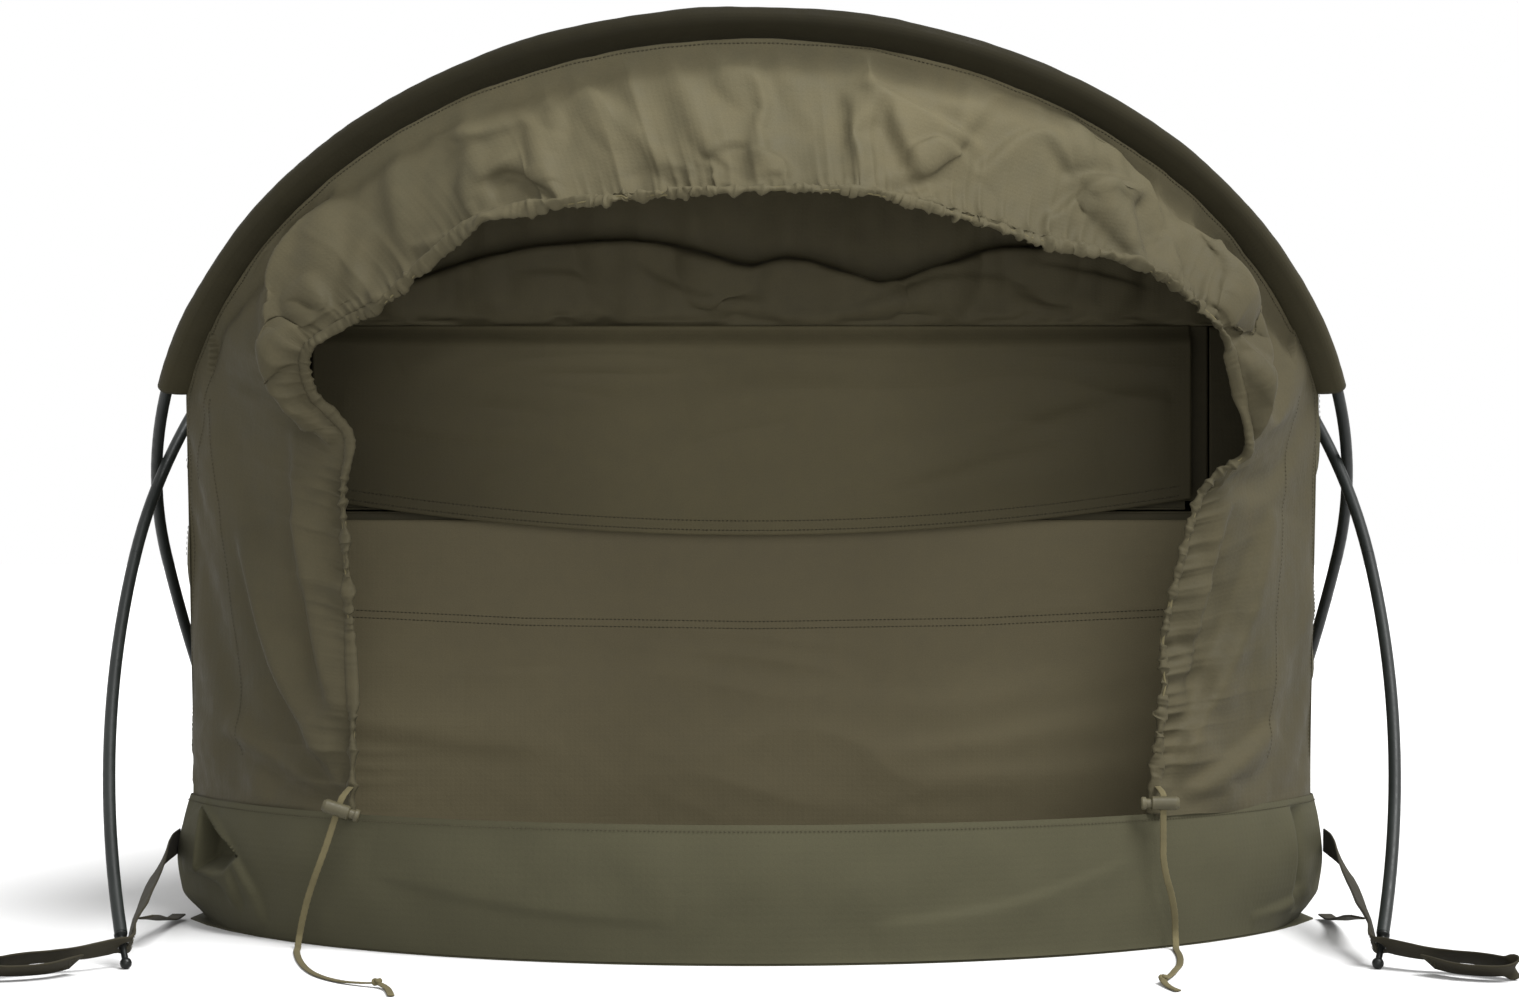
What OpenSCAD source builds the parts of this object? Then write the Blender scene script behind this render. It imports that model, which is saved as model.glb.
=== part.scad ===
// Hooped bivy shelter: a groundsheet tub, a fabric body held up by two crossed hoop poles,
// a gathered hood over the mouth, and an inner wall with a storm flap over a zipped door.
// The head end faces -Y, the foot end +Y, and the floor lies at z = 0.

/* [Floor and tub] */
// Length of the floor from the middle of the front edge to the foot end
floor_len = 2350; // [2200:10:2450]
// Half of the floor's width at the two head corners
head_half = 478; // [470:1:490]
// Half of the floor's width where the foot end starts to round
foot_half = 280; // [250:5:320]
// Radius of the bowed front edge
front_r = 515; // [505:5:560]
// Height of the waterproof tub wall
tub_h = 105; // [90:5:120]
// How far the tub wall bulges at half its height
tub_bulge = 7; // [0:1:10]

/* [Poles] */
// Outer diameter of a pole section
pole_d = 10; // [9:0.5:10.5]
// Wall of a pole section
pole_wall = 1; // [0.8:0.1:1.2]
// Length of one pole section along its bend
section_len = 432; // [425:1:440]
// Lean of both hoops from the ground
hoop_lean = 46.5; // [45:0.5:47]
// Bend radii of the front hoop's sections, from the crown to the foot
front_bends = [505, 560, 2500];
// Bend radii of the rear hoop's sections, from the crown to the foot
rear_bends = [463, 738, 1340];
// Front hoop's crown behind the front edge of the floor
front_crown_y = 40; // [35:1:45]
// Rear hoop's feet behind the front edge of the floor, less than 0 for ahead of it
rear_foot_y = -22; // [-30:1:-15]
// How far up the pole from the ground the end sections stop
tube_stop = 35; // [32:1:38]
// Diameter of the ball on the end of a pole tip
tip_ball = 9; // [8:0.5:10]

/* [Pole sleeves] */
// Width of a sleeve in the plane of its hoop
sleeve_w = 27; // [25:1:30]
// Thickness of a sleeve across its hoop
sleeve_t = 15; // [14:1:18]
// Half of a sleeve's length along its pole
sleeve_half = 665; // [650:5:680]

/* [Fabric] */
// Thickness given to one layer of fabric
cloth = 1; // [0.8:0.1:1.5]
// Sag of the roof between the hoops
roof_sag = 12; // [5:1:20]
// Sag of the ridge between the rear hoop and the foot end
ridge_sag = 30; // [10:5:40]
// Height of the ridge at the foot end
foot_h = 225; // [200:5:250]
// Where the sides of the body meet the rear hoop's foot line, behind the front edge
rear_base_y = 560; // [540:5:600]

/* [Hood] */
// Outer diameter of the gathered channel along the hood's hem
channel_d = 10; // [9:0.5:12]
// Bulge of the hood between the sleeve and its hem
hood_bulge = 16; // [10:1:20]

/* [Inner wall and door] */
// Inner wall behind the front edge of the floor
wall_y = 300; // [295:1:305]
// Height of the seam that the storm flap hangs from
flap_top = 505; // [495:5:515]
// Half of the storm flap's width
flap_half = 370; // [360:1:372]
// Storm flap's length at its middle
flap_len = 178; // [170:1:185]
// How much shorter the storm flap is at its ends
flap_rise = 31; // [20:1:35]
// Half of the door's width
door_half = 385; // [380:1:386]
// Height of the sill below the door
sill_h = 60; // [50:1:70]
// Height of the zip between the door and the wall
zip_z = 347.9; // [345:0.1:350]

/* [Straps] */
// Width of the webbing
web_w = 20; // [18:1:22]
// Thickness of the webbing
web_t = 1.8; // [1.5:0.1:2]

/* [Cord locks and drawcord] */
// Length of a cord lock's barrel
barrel_len = 22; // [21:0.5:24]
// Diameter of a cord lock's barrel
barrel_d = 11; // [10.5:0.5:12]
// Travel of a cord lock's plunger
press = 3.5; // [3:0.1:3.5]
// Width of the flat drawcord
cord_w = 5.5; // [5:0.1:5.6]
// Thickness of the flat drawcord
cord_t = 1.5; // [1.2:0.1:1.6]
// Tilt of the left cord lock
left_tilt = 18; // [0:1:20]

/* [Hidden] */
$fn = 48;

olive = [0.35, 0.33, 0.25];
olive_light = [0.44, 0.42, 0.33];
olive_dark = [0.22, 0.21, 0.14];
web_brown = [0.20, 0.18, 0.13];
pole_black = [0.10, 0.11, 0.11];
metal_dark = [0.25, 0.24, 0.20];

gap = 1;                       // clearance left along every seam
pole_r = pole_d / 2;
bore_r = pole_r - pole_wall;
foot_reach = 21;               // how far the foot loops stand behind the floor
front_reach = 103;             // how far the front stake loops stand ahead of the floor
mid_y = (floor_len + foot_reach - front_reach) / 2;
seam_off = -(sleeve_w - 7 + gap);  // fabric edge, measured outward from a pole's centreline
side_len = 341;                // from a sleeve's end down to the tub
edge_half = sleeve_half + side_len;
foot_round = 120;              // depth of the rounded foot end
corner_y = front_r - sqrt(front_r * front_r - head_half * head_half);
corner_a = asin(head_half / front_r);
foot_y = floor_len - foot_round;

// ---- small helpers ----
function lerp(a, b, t) = a + (b - a) * t;
function unit(v) = v / norm(v);
function flip(p) = [-p[0], p[1], p[2]];
function run(p) = [for (i = 0, s = 0; i < len(p);
    s = s + (i + 1 < len(p) ? norm(p[i + 1] - p[i]) : 0), i = i + 1) s];
// Point at a fraction q of the way along a run of points
function along(p, q) = let (r = run(p), s = q * r[len(r) - 1])
    [for (k = [0:2]) lookup(s, [for (i = [0:len(p) - 1]) [r[i], p[i][k]]])];

module at_origin() translate([0, -mid_y, 0]) children();

// A closed sheet of thickness t around a grid of points
function grid_n(g, i, j) = let (
    m = len(g) - 1, n = len(g[0]) - 1,
    du = g[min(i + 1, m)][j] - g[max(i - 1, 0)][j],
    dv = g[i][min(j + 1, n)] - g[i][max(j - 1, 0)]) unit(cross(du, dv));
module sheet(g, t = cloth) {
    m = len(g);
    n = len(g[0]);
    c = m * n;
    pts = [for (s = [1, -1], i = [0:m - 1], j = [0:n - 1]) g[i][j] + s * t / 2 * grid_n(g, i, j)];
    front = [for (i = [0:m - 2], j = [0:n - 2]) let (a = i * n + j)
        each [[a, a + 1, a + n + 1], [a, a + n + 1, a + n]]];
    back = [for (f = front) [f[2] + c, f[1] + c, f[0] + c]];
    ends = [for (j = [0:n - 2], i = [0, m - 1]) let (a = i * n + j)
        each (i == 0 ? [[a, a + c, a + c + 1], [a, a + c + 1, a + 1]]
                     : [[a, a + c + 1, a + c], [a, a + 1, a + c + 1]])];
    sides = [for (i = [0:m - 2], j = [0, n - 1]) let (a = i * n + j)
        each (j == 0 ? [[a, a + c + n, a + c], [a, a + n, a + c + n]]
                     : [[a, a + c, a + c + n], [a, a + c + n, a + n]])];
    polyhedron(pts, concat(front, back, ends, sides), convexity = 10);
}

// A tube swept along points, w wide and t thick, its width kept close to the direction `wide`
function tangent(p, i) = unit(p[min(i + 1, len(p) - 1)] - p[max(i - 1, 0)]);
function ring(p, i, w, t, wide, k) = let (
    d = tangent(p, i), a = unit(wide - (wide * d) * d), b = cross(d, a))
    [for (j = [0:k - 1]) p[i] + w / 2 * cos(360 * j / k) * a + t / 2 * sin(360 * j / k) * b];
module swept(p, w, t, wide, k = 8) rod([for (i = [0:len(p) - 1]) ring(p, i, w, t, wide, k)]);
module hollow_swept(p, w, wall, wide, k = 8) pipe([for (i = [0:len(p) - 1]) ring(p, i, w, w, wide, k)],
    [for (i = [0:len(p) - 1]) ring(p, i, w - 2 * wall, w - 2 * wall, wide, k)]);
// A closed rod through rings of points, and a pipe between outer and inner rings
module rod(rings) {
    m = len(rings);
    k = len(rings[0]);
    walls = [for (i = [0:m - 2], j = [0:k - 1]) let (a = i * k + j, b = i * k + (j + 1) % k)
        each [[a, b + k, b], [a, a + k, b + k]]];
    polyhedron([for (r = rings) each r], concat(walls, [[for (j = [0:k - 1]) j]],
        [[for (j = [k - 1:-1:0]) (m - 1) * k + j]]), convexity = 10);
}
module pipe(rings, inner_rings) {
    m = len(rings);
    k = len(rings[0]);
    c = m * k;
    pts = [for (r = concat(rings, inner_rings)) each r];
    outer = [for (i = [0:m - 2], j = [0:k - 1]) let (a = i * k + j, b = i * k + (j + 1) % k)
        each [[a, b + k, b], [a, a + k, b + k]]];
    inner = [for (f = outer) [f[2] + c, f[1] + c, f[0] + c]];
    lips = [for (j = [0:k - 1], e = [0, m - 1]) let (a = e * k + j, b = e * k + (j + 1) % k)
        each (e == 0 ? [[a, b, b + c], [a, b + c, a + c]] : [[a, b + c, b], [a, a + c, b + c]])];
    polyhedron(pts, concat(outer, inner, lips), convexity = 10);
}

// ---- hoops: three sections a side, each one arc, measured from the crown ----
function turn(r, k) = k == 0 ? 0 : turn(r, k - 1) + section_len / r[k - 1] * 180 / PI;
function knee(r, k) = k == 0 ? [0, 0] : knee(r, k - 1)
    + r[k - 1] * [sin(turn(r, k)) - sin(turn(r, k - 1)), cos(turn(r, k)) - cos(turn(r, k - 1))];
function hoop_h(r) = -knee(r, 3)[1];
// Point [across, up the slant] at distance d from the crown, `off` outward from the centreline
function hoop_at(r, d, off = 0) = let (
    a = abs(d), k = min(floor(a / section_len), 2), h = turn(r, k),
    th = h + (a - k * section_len) / r[k] * 180 / PI,
    p = knee(r, k) - r[k] * [sin(h), cos(h)] + (r[k] + off) * [sin(th), cos(th)])
    [sign(d) * p[0], hoop_h(r) + p[1]];
// dir is 1 for the rear hoop, which leans to the foot end, and -1 for the front hoop;
// `n` moves the point off the hoop's plane, to the side that the crown leans away from
function hoop_foot_y(dir) = dir > 0 ? rear_foot_y : front_crown_y + hoop_h(front_bends) * cos(hoop_lean);
function bends(dir) = dir > 0 ? rear_bends : front_bends;
function hoop_pt(dir, d, off = 0, n = 0) = let (q = hoop_at(bends(dir), d, off))
    [q[0], hoop_foot_y(dir) + dir * (q[1] * cos(hoop_lean) - n * sin(hoop_lean)),
     q[1] * sin(hoop_lean) + n * cos(hoop_lean)];

// Rings of a profile's points [outward, off the plane] along a hoop, from distance a to b
function hoop_rings(dir, a, b, n, profile) = [for (i = [0:n])
    [for (j = [0:len(profile) - 1]) let (q = profile[dir > 0 ? j : len(profile) - 1 - j])
        hoop_pt(dir, lerp(a, b, i / n), q[0], q[1])]];
function round_profile(r, k = 8) = [for (j = [0:k - 1]) r * [cos(360 * j / k), sin(360 * j / k)]];

// Runs a profile along a hoop from distance a to b; the profile's x points out of the bend
module hoop_run(dir, a, b) {
    r = bends(dir);
    translate([0, hoop_foot_y(dir), 0]) rotate([dir > 0 ? hoop_lean : 180 - hoop_lean, 0, 0])
        translate([0, hoop_h(r), 0])
        for (side = [-1, 1], k = [0:2]) {
            lo = max(side * (side > 0 ? a : b), k * section_len);
            hi = min(side * (side > 0 ? b : a), (k + 1) * section_len);
            if (hi > lo + 0.01) mirror([side > 0 ? 0 : 1, 0, 0]) {
                h = turn(r, k);
                t1 = h + (lo - k * section_len) / r[k] * 180 / PI;
                t2 = h + (hi - k * section_len) / r[k] * 180 / PI;
                translate(concat(knee(r, k) - r[k] * [sin(h), cos(h)], 0)) rotate(90 - t2)
                    rotate_extrude(angle = t2 - t1, $fn = 96) translate([r[k], 0]) children();
            }
        }
}
// Direction that a pole points in where it meets the ground
function foot_dir(dir, side) = let (th = turn(bends(dir), 3))
    [side * cos(th), -dir * sin(th) * cos(hoop_lean), -sin(th) * sin(hoop_lean)];
function foot_at(dir, side, up) = hoop_pt(dir, side * 3 * section_len) - up * foot_dir(dir, side);
module on_axis(at, axis) translate(at)
    rotate([0, acos(axis[2]), atan2(axis[1], axis[0])]) children();

tube_end = 3 * section_len - tube_stop;           // distance from the crown to a pole's end
// The ball on each tip stands on the ground
tip_len = tube_stop + tip_ball / 2 / foot_dir(1, 1)[2];

module pole_profile() difference() {
    circle(pole_r);
    circle(bore_r);
}
// Section n of 6, counted from the left foot
module pole_section(dir, n) {
    a = max((n - 4) * section_len, -tube_end);
    b = min((n - 3) * section_len, tube_end);
    color(pole_black) at_origin() hoop_run(dir, a + (n > 1 ? 0.1 : 0), b - (n < 6 ? 0.1 : 0))
        pole_profile();
}
module pole_ferrules() color(metal_dark) at_origin()
    for (dir = [-1, 1], n = [-2:2]) let (a = n * section_len - 40, b = n * section_len + 40)
        pipe(hoop_rings(dir, a, b, 6, round_profile(bore_r - 0.15)),
            hoop_rings(dir, a, b, 6, round_profile(bore_r - 0.9)));
module shock_cord(dir) color("black") at_origin()
    rod(hoop_rings(dir, 16 - tube_end, tube_end - 16, 44, round_profile(1.25, 6)));

spigot_r = bore_r - 0.9;       // loose enough for the bend of the section it fills
collar = 0.4;                  // clearance between a tip's collar and its tube
pin_r = 2.5;
// Spigot, collar, pin and ball, turned as one piece
module pole_tip() rotate_extrude() {
    polygon([[0, -10], [spigot_r, -10], [spigot_r, collar], [pole_r, collar], [pole_r, 1.8],
        [pin_r, 4], [pin_r, tip_len - 2], [0, tip_len - 2]]);
    translate([0, tip_len]) intersection() {
        circle(tip_ball / 2);
        translate([0, -tip_ball]) square([tip_ball, 2 * tip_ball]);
    }
}
module pole_tips() color(metal_dark) at_origin()
    for (dir = [-1, 1], side = [-1, 1]) on_axis(foot_at(dir, side, tube_stop), foot_dir(dir, side))
        pole_tip();

// The pole lies against the sleeve's outer edge
function sleeve_profile(in) = let (w = sleeve_w / 2 - in, t = sleeve_t / 2 - in, c = 7 - sleeve_w / 2)
    [for (q = [[w, -t * 0.45], [w, t * 0.45], [w * 0.6, t], [-w * 0.6, t], [-w, t * 0.45],
        [-w, -t * 0.45], [-w * 0.6, -t], [w * 0.6, -t]]) q + [c, 0]];
module pole_sleeve(dir) color(olive_dark) at_origin()
    pipe(hoop_rings(dir, -sleeve_half, sleeve_half, 40, sleeve_profile(0)),
        hoop_rings(dir, -sleeve_half, sleeve_half, 40, sleeve_profile(cloth)));

// ---- floor and tub ----
function front_rim(a) = [front_r * sin(a), front_r - front_r * cos(a)];
// Rounded foot end, b from 0 at the right to 180 at the left
function foot_rim(b) = [foot_half * sign(cos(b)) * pow(abs(cos(b)), 0.6),
    foot_y + foot_round * pow(sin(b), 0.6)];
function side_x(y) = lerp(head_half, foot_half, (y - corner_y) / (foot_y - corner_y));
module floor_panel() color(olive) at_origin() linear_extrude(1.2)
    polygon(concat([for (i = [-12:12]) front_rim(i / 12 * corner_a)],
        [for (i = [0:24]) foot_rim(i * 7.5)]));

wall_hs = [0, 0.25, 0.5, 0.75, 1];
function bulged(p, out, h) = let (q = p + (tub_bulge * sin(180 * h) - 1) * out)
    [q[0], q[1], lerp(1.6, tub_h, h)];
module tub_band_front() color(olive_light) at_origin()
    sheet([for (i = [-14:14]) let (a = i / 14 * (corner_a - 0.15))
        [for (h = wall_hs) bulged(front_rim(a), [sin(a), -cos(a)], h)]]);
module tub_band_side(side) color(olive_light) at_origin()
    sheet([for (i = [0:6]) let (y = lerp(corner_y + gap, foot_y - gap, i / 6))
        [for (h = wall_hs) bulged([side * side_x(y), y], [side, 0], h)]]);
module tub_band_foot() color(olive_light) at_origin()
    sheet([for (i = [0:24]) let (b = 2 + i / 24 * 176, p = foot_rim(b))
        [for (h = wall_hs) bulged(p, unit([p[0], 1.5 * (p[1] - foot_y)]), h)]]);

// ---- body ----
base_z = tub_h + gap;
function corner_pt(side) = [side * (head_half - 3), corner_y, base_z];
function rear_base(side) = [side * side_x(rear_base_y), rear_base_y, base_z];
// Edges of the body: over the hoop inside the sleeve, then down to the tub
function edge(dir, a, n = 0) = abs(a) <= sleeve_half ? hoop_pt(dir, a, seam_off, n)
    : lerp(hoop_pt(dir, sign(a) * sleeve_half, seam_off, n),
        dir > 0 ? rear_base(sign(a)) : corner_pt(sign(a)), (abs(a) - sleeve_half) / side_len);
function sag(p, d) = p - d * unit([p[0], 0, p[2] - 300]);
back_n = 2;                    // roof and rear canopy start this far behind a hoop's plane
function roof_pt(a, w) = sag(lerp(edge(-1, a, back_n), edge(1, a, back_n), w),
    roof_sag * 4 * w * (1 - w));
module roof_panel() color(olive) at_origin()
    sheet([for (i = [0:8]) [for (j = [-16:16]) roof_pt(j / 16 * (sleeve_half - gap), i / 8)]]);
module side_wall(side) color(olive) at_origin()
    sheet([for (i = [0:3]) [for (j = [0:6])
        lerp(edge(-1, side * lerp(sleeve_half + 2 * gap, edge_half, j / 6), back_n),
             edge(1, side * lerp(sleeve_half + 2 * gap, edge_half, j / 6), back_n), i / 3)]]);

// Arch at the foot end, a from 0 at the ridge to edge_half at the tub
function foot_arch(a) = let (t = 90 * min(abs(a) / edge_half, 0.999))
    [sign(a) * foot_half * pow(sin(t), 0.8), foot_y - 10, base_z + (foot_h - base_z) * pow(cos(t), 0.8)];
rear_n = -sleeve_t / 2 - 2;    // rear canopy starts behind the rear sleeve
function rear_pt(a, u) = let (
    p = lerp(edge(1, a, abs(a) <= sleeve_half ? rear_n : 0) + [0, 3, 0], foot_arch(a), u))
    p - [0, 0, ridge_sag * 4 * u * (1 - u) * cos(90 * abs(a) / edge_half)];
module rear_canopy(side) color(olive) at_origin()
    sheet([for (i = [0:12]) [for (j = [0:14]) rear_pt(side * lerp(2, edge_half, j / 14), i / 12)]]);
module foot_end_panel() color(olive) at_origin()
    sheet([for (i = [0:5]) [for (j = [-10:10]) let (
        q = j / 10 * 0.94, w = i / 5, f = foot_rim(90 - 90 * q),
        top = foot_arch(q * edge_half) + [0, 2, 0], low = [f[0], f[1] - 2, base_z])
        lerp(top, low, w) + [0, 14, 0] * sin(180 * w) * (1 - abs(q))]]);

// ---- hood ----
// Hem of the hood, from the left cord lock over the top to the right one
hem = [[-316, 107, 108], [-316, 118, 170], [-320, 128, 240], [-324, 134, 310], [-326, 136, 360],
    [-321, 132, 402], [-332, 130, 420], [-350, 122, 440], [-352, 105, 472], [-320, 95, 494],
    [-287, 80, 510], [-242, 60, 548], [-201, 40, 573], [-116, 10, 582], [0, -20, 587],
    [74, -15, 587], [120, 0, 580], [190, 25, 562], [229, 40, 552], [277, 55, 544], [317, 70, 529],
    [350, 85, 507], [372, 100, 484], [382, 115, 457], [396, 130, 399], [376, 130, 379],
    [356, 130, 355], [336, 130, 283], [327, 128, 243], [328, 124, 212], [323, 118, 165],
    [318, 107, 108]];
hem_w = channel_d / 2 + 2.5 * gap;
front_n = -2;                  // the hood starts this far ahead of the front hoop's plane
function hood_pt(q, w) = let (
    s = 2 * q - 1, e = edge(-1, s * edge_half, front_n), h = along(hem, q),
    out = unit(lerp([0, -0.86, 0.5], [sign(s) * 0.8, -0.6, 0], abs(s))))
    lerp(e + gap * unit(h - e), h + hem_w * unit(e - h), w) + hood_bulge * 4 * w * (1 - w) * out;
module hood_panel(q1, q2, n) sheet([for (i = [0:n]) [for (j = [0:6])
    hood_pt(lerp(q1, q2, i / n), j / 6)]]);
q_side = side_len / edge_half / 2;   // where the hood passes the sleeves' ends
q_gap = 0.0007;
module hood_left_panel() color(olive) at_origin() hood_panel(0.001, q_side - q_gap, 10);
module hood_right_panel() color(olive) at_origin() hood_panel(1 - q_side + q_gap, 0.999, 10);
module hood_top_panel() color(olive_light) at_origin() hood_panel(q_side + q_gap, 1 - q_side - q_gap, 24);
channel_q = 0.014;             // the channel stops short of the tub, above the cord locks
function channel_path(q, n) = [for (i = [0:n]) along(hem, lerp(q, 1 - q, i / n))];
module hood_hem_channel() color(olive) at_origin()
    hollow_swept(channel_path(channel_q, 44), channel_d, cloth, [0.1, 1, 0.3], 8);
module hood_drawcord() color([0.39, 0.36, 0.27]) at_origin()
    swept(channel_path(channel_q + 0.001, 44), 4.5, cord_t, [0.1, 1, 0.3], 8);

// ---- inner wall ----
module upright(y, t) translate([0, y + t / 2, 0]) rotate([90, 0, 0]) linear_extrude(t) children();
arch_in = 24;                  // the wall's top edge stays this far inside the seam line
function arch_pts(z1) = [for (i = [-24:24]) let (
    p = hoop_pt(-1, i / 24 * sleeve_half, seam_off - arch_in)) if (p[2] > z1) [p[0], p[2]]];
zip_room = 8;                  // half of the bare strip that the zip runs in
wall_half = 456;
module inner_wall_upper() color(olive_dark) at_origin() upright(wall_y, cloth)
    polygon(concat([[-door_half, zip_z + zip_room], [-door_half, flap_top]], arch_pts(flap_top),
        [[door_half, flap_top], [door_half, zip_z + zip_room]]));
module inner_wall_sides() color(olive_dark) at_origin() for (s = [0, 1]) mirror([s, 0, 0])
    upright(wall_y, cloth) polygon([[door_half + 3, 3], [wall_half, 3], [wall_half, 400],
        [wall_half - 14, 450], [wall_half - 44, flap_top - gap], [door_half + 3, flap_top - gap]]);
module door_sill() color(olive) at_origin() upright(wall_y, cloth)
    translate([-door_half, 3]) square([2 * door_half, sill_h - 3 - gap]);
module door_panel() color(olive) at_origin() upright(wall_y, cloth)
    translate([-door_half, sill_h + gap]) square([2 * door_half, zip_z - zip_room - sill_h - gap]);
flap_y = wall_y - 10;
module storm_flap() color(olive) at_origin() upright(flap_y, 1.5)
    polygon(concat([[-flap_half, flap_top - gap], [flap_half, flap_top - gap]],
        [for (i = [12:-1:-12]) let (x = i / 12) [x * flap_half,
            flap_top - flap_len + flap_rise * x * x]]));

coil_r = 1.2;
coil_y = wall_y + 1.6;
coil_dz = 1.8;                 // each coil's centre is this far from the middle of the zip
upper_half = 366;
lower_half = 384;
module zip_side(half, up) {
    translate([-half, coil_y, zip_z + up * coil_dz]) rotate([0, 90, 0])
        cylinder(r = coil_r, h = 2 * half, $fn = 16);
    translate([-half, coil_y - 0.4, zip_z + (up > 0 ? coil_dz : -coil_dz - 18)])
        cube([2 * half, 0.8, 18]);
}
module zip_tape_upper() color(web_brown) at_origin() zip_side(upper_half, 1);
module zip_tape_lower() color(web_brown) at_origin() zip_side(lower_half, -1);
slider_x = 378;                // the slider waits past the end of the upper tape
pull_y = wall_y - 4;
module zip_slider() color(metal_dark) at_origin() translate([slider_x, 0, zip_z]) {
    for (y = [coil_y - 3, coil_y + 1.8]) translate([-5, y, -6]) cube([10, 1.2, 12]);
    translate([-5, coil_y - 3, -0.4]) cube([3, 6, 0.8]);
    for (x = [-3.8, 3]) translate([x, pull_y - 1.4, 0.6]) cube([0.8, 4.2, 3]);
    translate([-3.8, pull_y, 2.1]) rotate([0, 90, 0]) cylinder(r = 0.8, h = 7.6);
}
module zip_puller() color(metal_dark) at_origin() translate([slider_x, pull_y, zip_z + 2.1])
    difference() {
        union() {
            translate([-2.3, 0, 0]) rotate([0, 90, 0]) cylinder(r = 1.9, h = 4.6);
            translate([-2.3, -0.7, -26]) cube([4.6, 1.4, 26]);
        }
        translate([-4, 0, 0]) rotate([0, 90, 0]) cylinder(r = 0.86, h = 8);
    }

// ---- webbing ----
// A flat strap through points p, its width along the directions wd
module strap(p, wd, w = web_w) sheet([for (i = [0:len(p) - 1]) let (
    d = tangent(p, i), v = unit(wd[i] - (wd[i] * d) * d))
    [for (k = [-1, 0, 1]) p[i] + k * w / 2 * v]], web_t);
// Straps on the left; the right ones are mirrored. Each pole tip's pin goes through an eyelet
eye_up = 25;                   // distance of the eyelets up the pole from the ground
corner_eye = foot_at(1, -1, eye_up);
side_eye = foot_at(-1, -1, eye_up);
corner_tan = unit([-8, -13, -1]);
side_tan = unit([-8, 13, -1]);
corner_run = [[-490, 340, 66], [-490, 300, 64], [-489, 255, 59], [-486, 200, 51], [-482, 140, 42],
    [-478, 80, 32], [-475, 35, 25], corner_eye - 9 * corner_tan, corner_eye + 9 * corner_tan,
    [-499, -34, 15], [-518, -44, 13.5], [-537, -58, 13], [-551, -74, 12], [-558, -88, 10.5],
    [-549, -94, 8.5], [-533, -88, 7.5], [-517, -75, 7.5], [-505, -58, 8.5]];
corner_wide = [[0, 0.2, 1], [0, 0.2, 1], [0.2, 0.1, 1], [0.45, 0, 0.9], [0.6, 0, 0.75], [0.65, 0, 0.7],
    [0.65, -0.2, 0.68], [0.6, -0.45, 0.66], [0.6, -0.45, 0.66], [0.4, -0.7, 0.6], [0.3, -0.75, 0.6],
    [0.2, -0.8, 0.6], [0.1, -0.85, 0.55], [0, -0.9, 0.45], [0.1, -0.88, 0.45], [0.2, -0.86, 0.45],
    [0.3, -0.84, 0.45], [0.35, -0.8, 0.48]];
side_run = [[-459, 600, 50], [-456, 650, 34], [-453, 695, 18], side_eye - 9 * side_tan,
    side_eye + 9 * side_tan, [-480, 756, 13], [-500, 762, 8], [-522, 768, 3], [-534, 771, 9],
    [-522, 768, 19], [-500, 762, 20], [-486, 757, 17]];
side_wide = [[0, 0, 1], [0.2, 0, 1], [0.6, 0.2, 0.6], [0.6, 0.45, 0.66], [0.6, 0.45, 0.66],
    [0.2, 0.8, 0.3], [0.1, 1, 0.1], [0.1, 1, 0], [0.1, 1, 0], [0.1, 1, 0], [0.1, 1, 0.1],
    [0.2, 0.8, 0.3]];
// An eyelet faces as squarely down its pole end as its strap allows
function eye_axis(dir, tan) = let (d = foot_dir(dir, -1)) unit(d - (d * tan) * tan);
eye_hole = 5.2;
module corner_strap() difference() {
    strap(corner_run, corner_wide);
    on_axis(corner_eye, eye_axis(1, corner_tan)) cylinder(r = eye_hole, h = 30, center = true, $fn = 24);
}
module side_strap() difference() {
    strap(side_run, side_wide);
    on_axis(side_eye, eye_axis(-1, side_tan)) cylinder(r = eye_hole, h = 30, center = true, $fn = 24);
}
module eyelet() rotate_extrude() polygon([[4, -1.6], [5, -1.6], [5, 1.6], [4, 1.6]]);
module floor_strap() strap([[-488, 322, 3], [-487, 280, 5], [-485, 225, 11], [-482, 165, 19],
    [-479, 112, 25]], [[1, 0, 0], [1, 0, 0], [1, 0, 0.1], [1, 0, 0.2], [1, 0, 0.2]], 12);
module foot_loop() strap([[-262, 2312, 12], [-268, 2328, 10], [-277, 2350, 3], [-283, 2363, 6],
    [-284, 2368, 12], [-281, 2361, 18], [-272, 2344, 20], [-266, 2330, 18]],
    [for (i = [0:7]) [1, 0.3, 0]], 15);
module corner_strap_left() color(web_brown) at_origin() corner_strap();
module corner_strap_right() color(web_brown) at_origin() mirror([1, 0, 0]) corner_strap();
module side_strap_left() color(web_brown) at_origin() side_strap();
module side_strap_right() color(web_brown) at_origin() mirror([1, 0, 0]) side_strap();
module floor_straps() color(web_brown) at_origin() for (s = [0, 1]) mirror([s, 0, 0]) floor_strap();
module foot_loops() color(web_brown) at_origin() for (s = [0, 1]) mirror([s, 0, 0]) foot_loop();
module strap_eyelets() color(metal_dark) at_origin() for (s = [0, 1]) mirror([s, 0, 0]) {
    on_axis(corner_eye, eye_axis(1, corner_tan)) eyelet();
    on_axis(side_eye, eye_axis(-1, side_tan)) eyelet();
}

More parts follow.
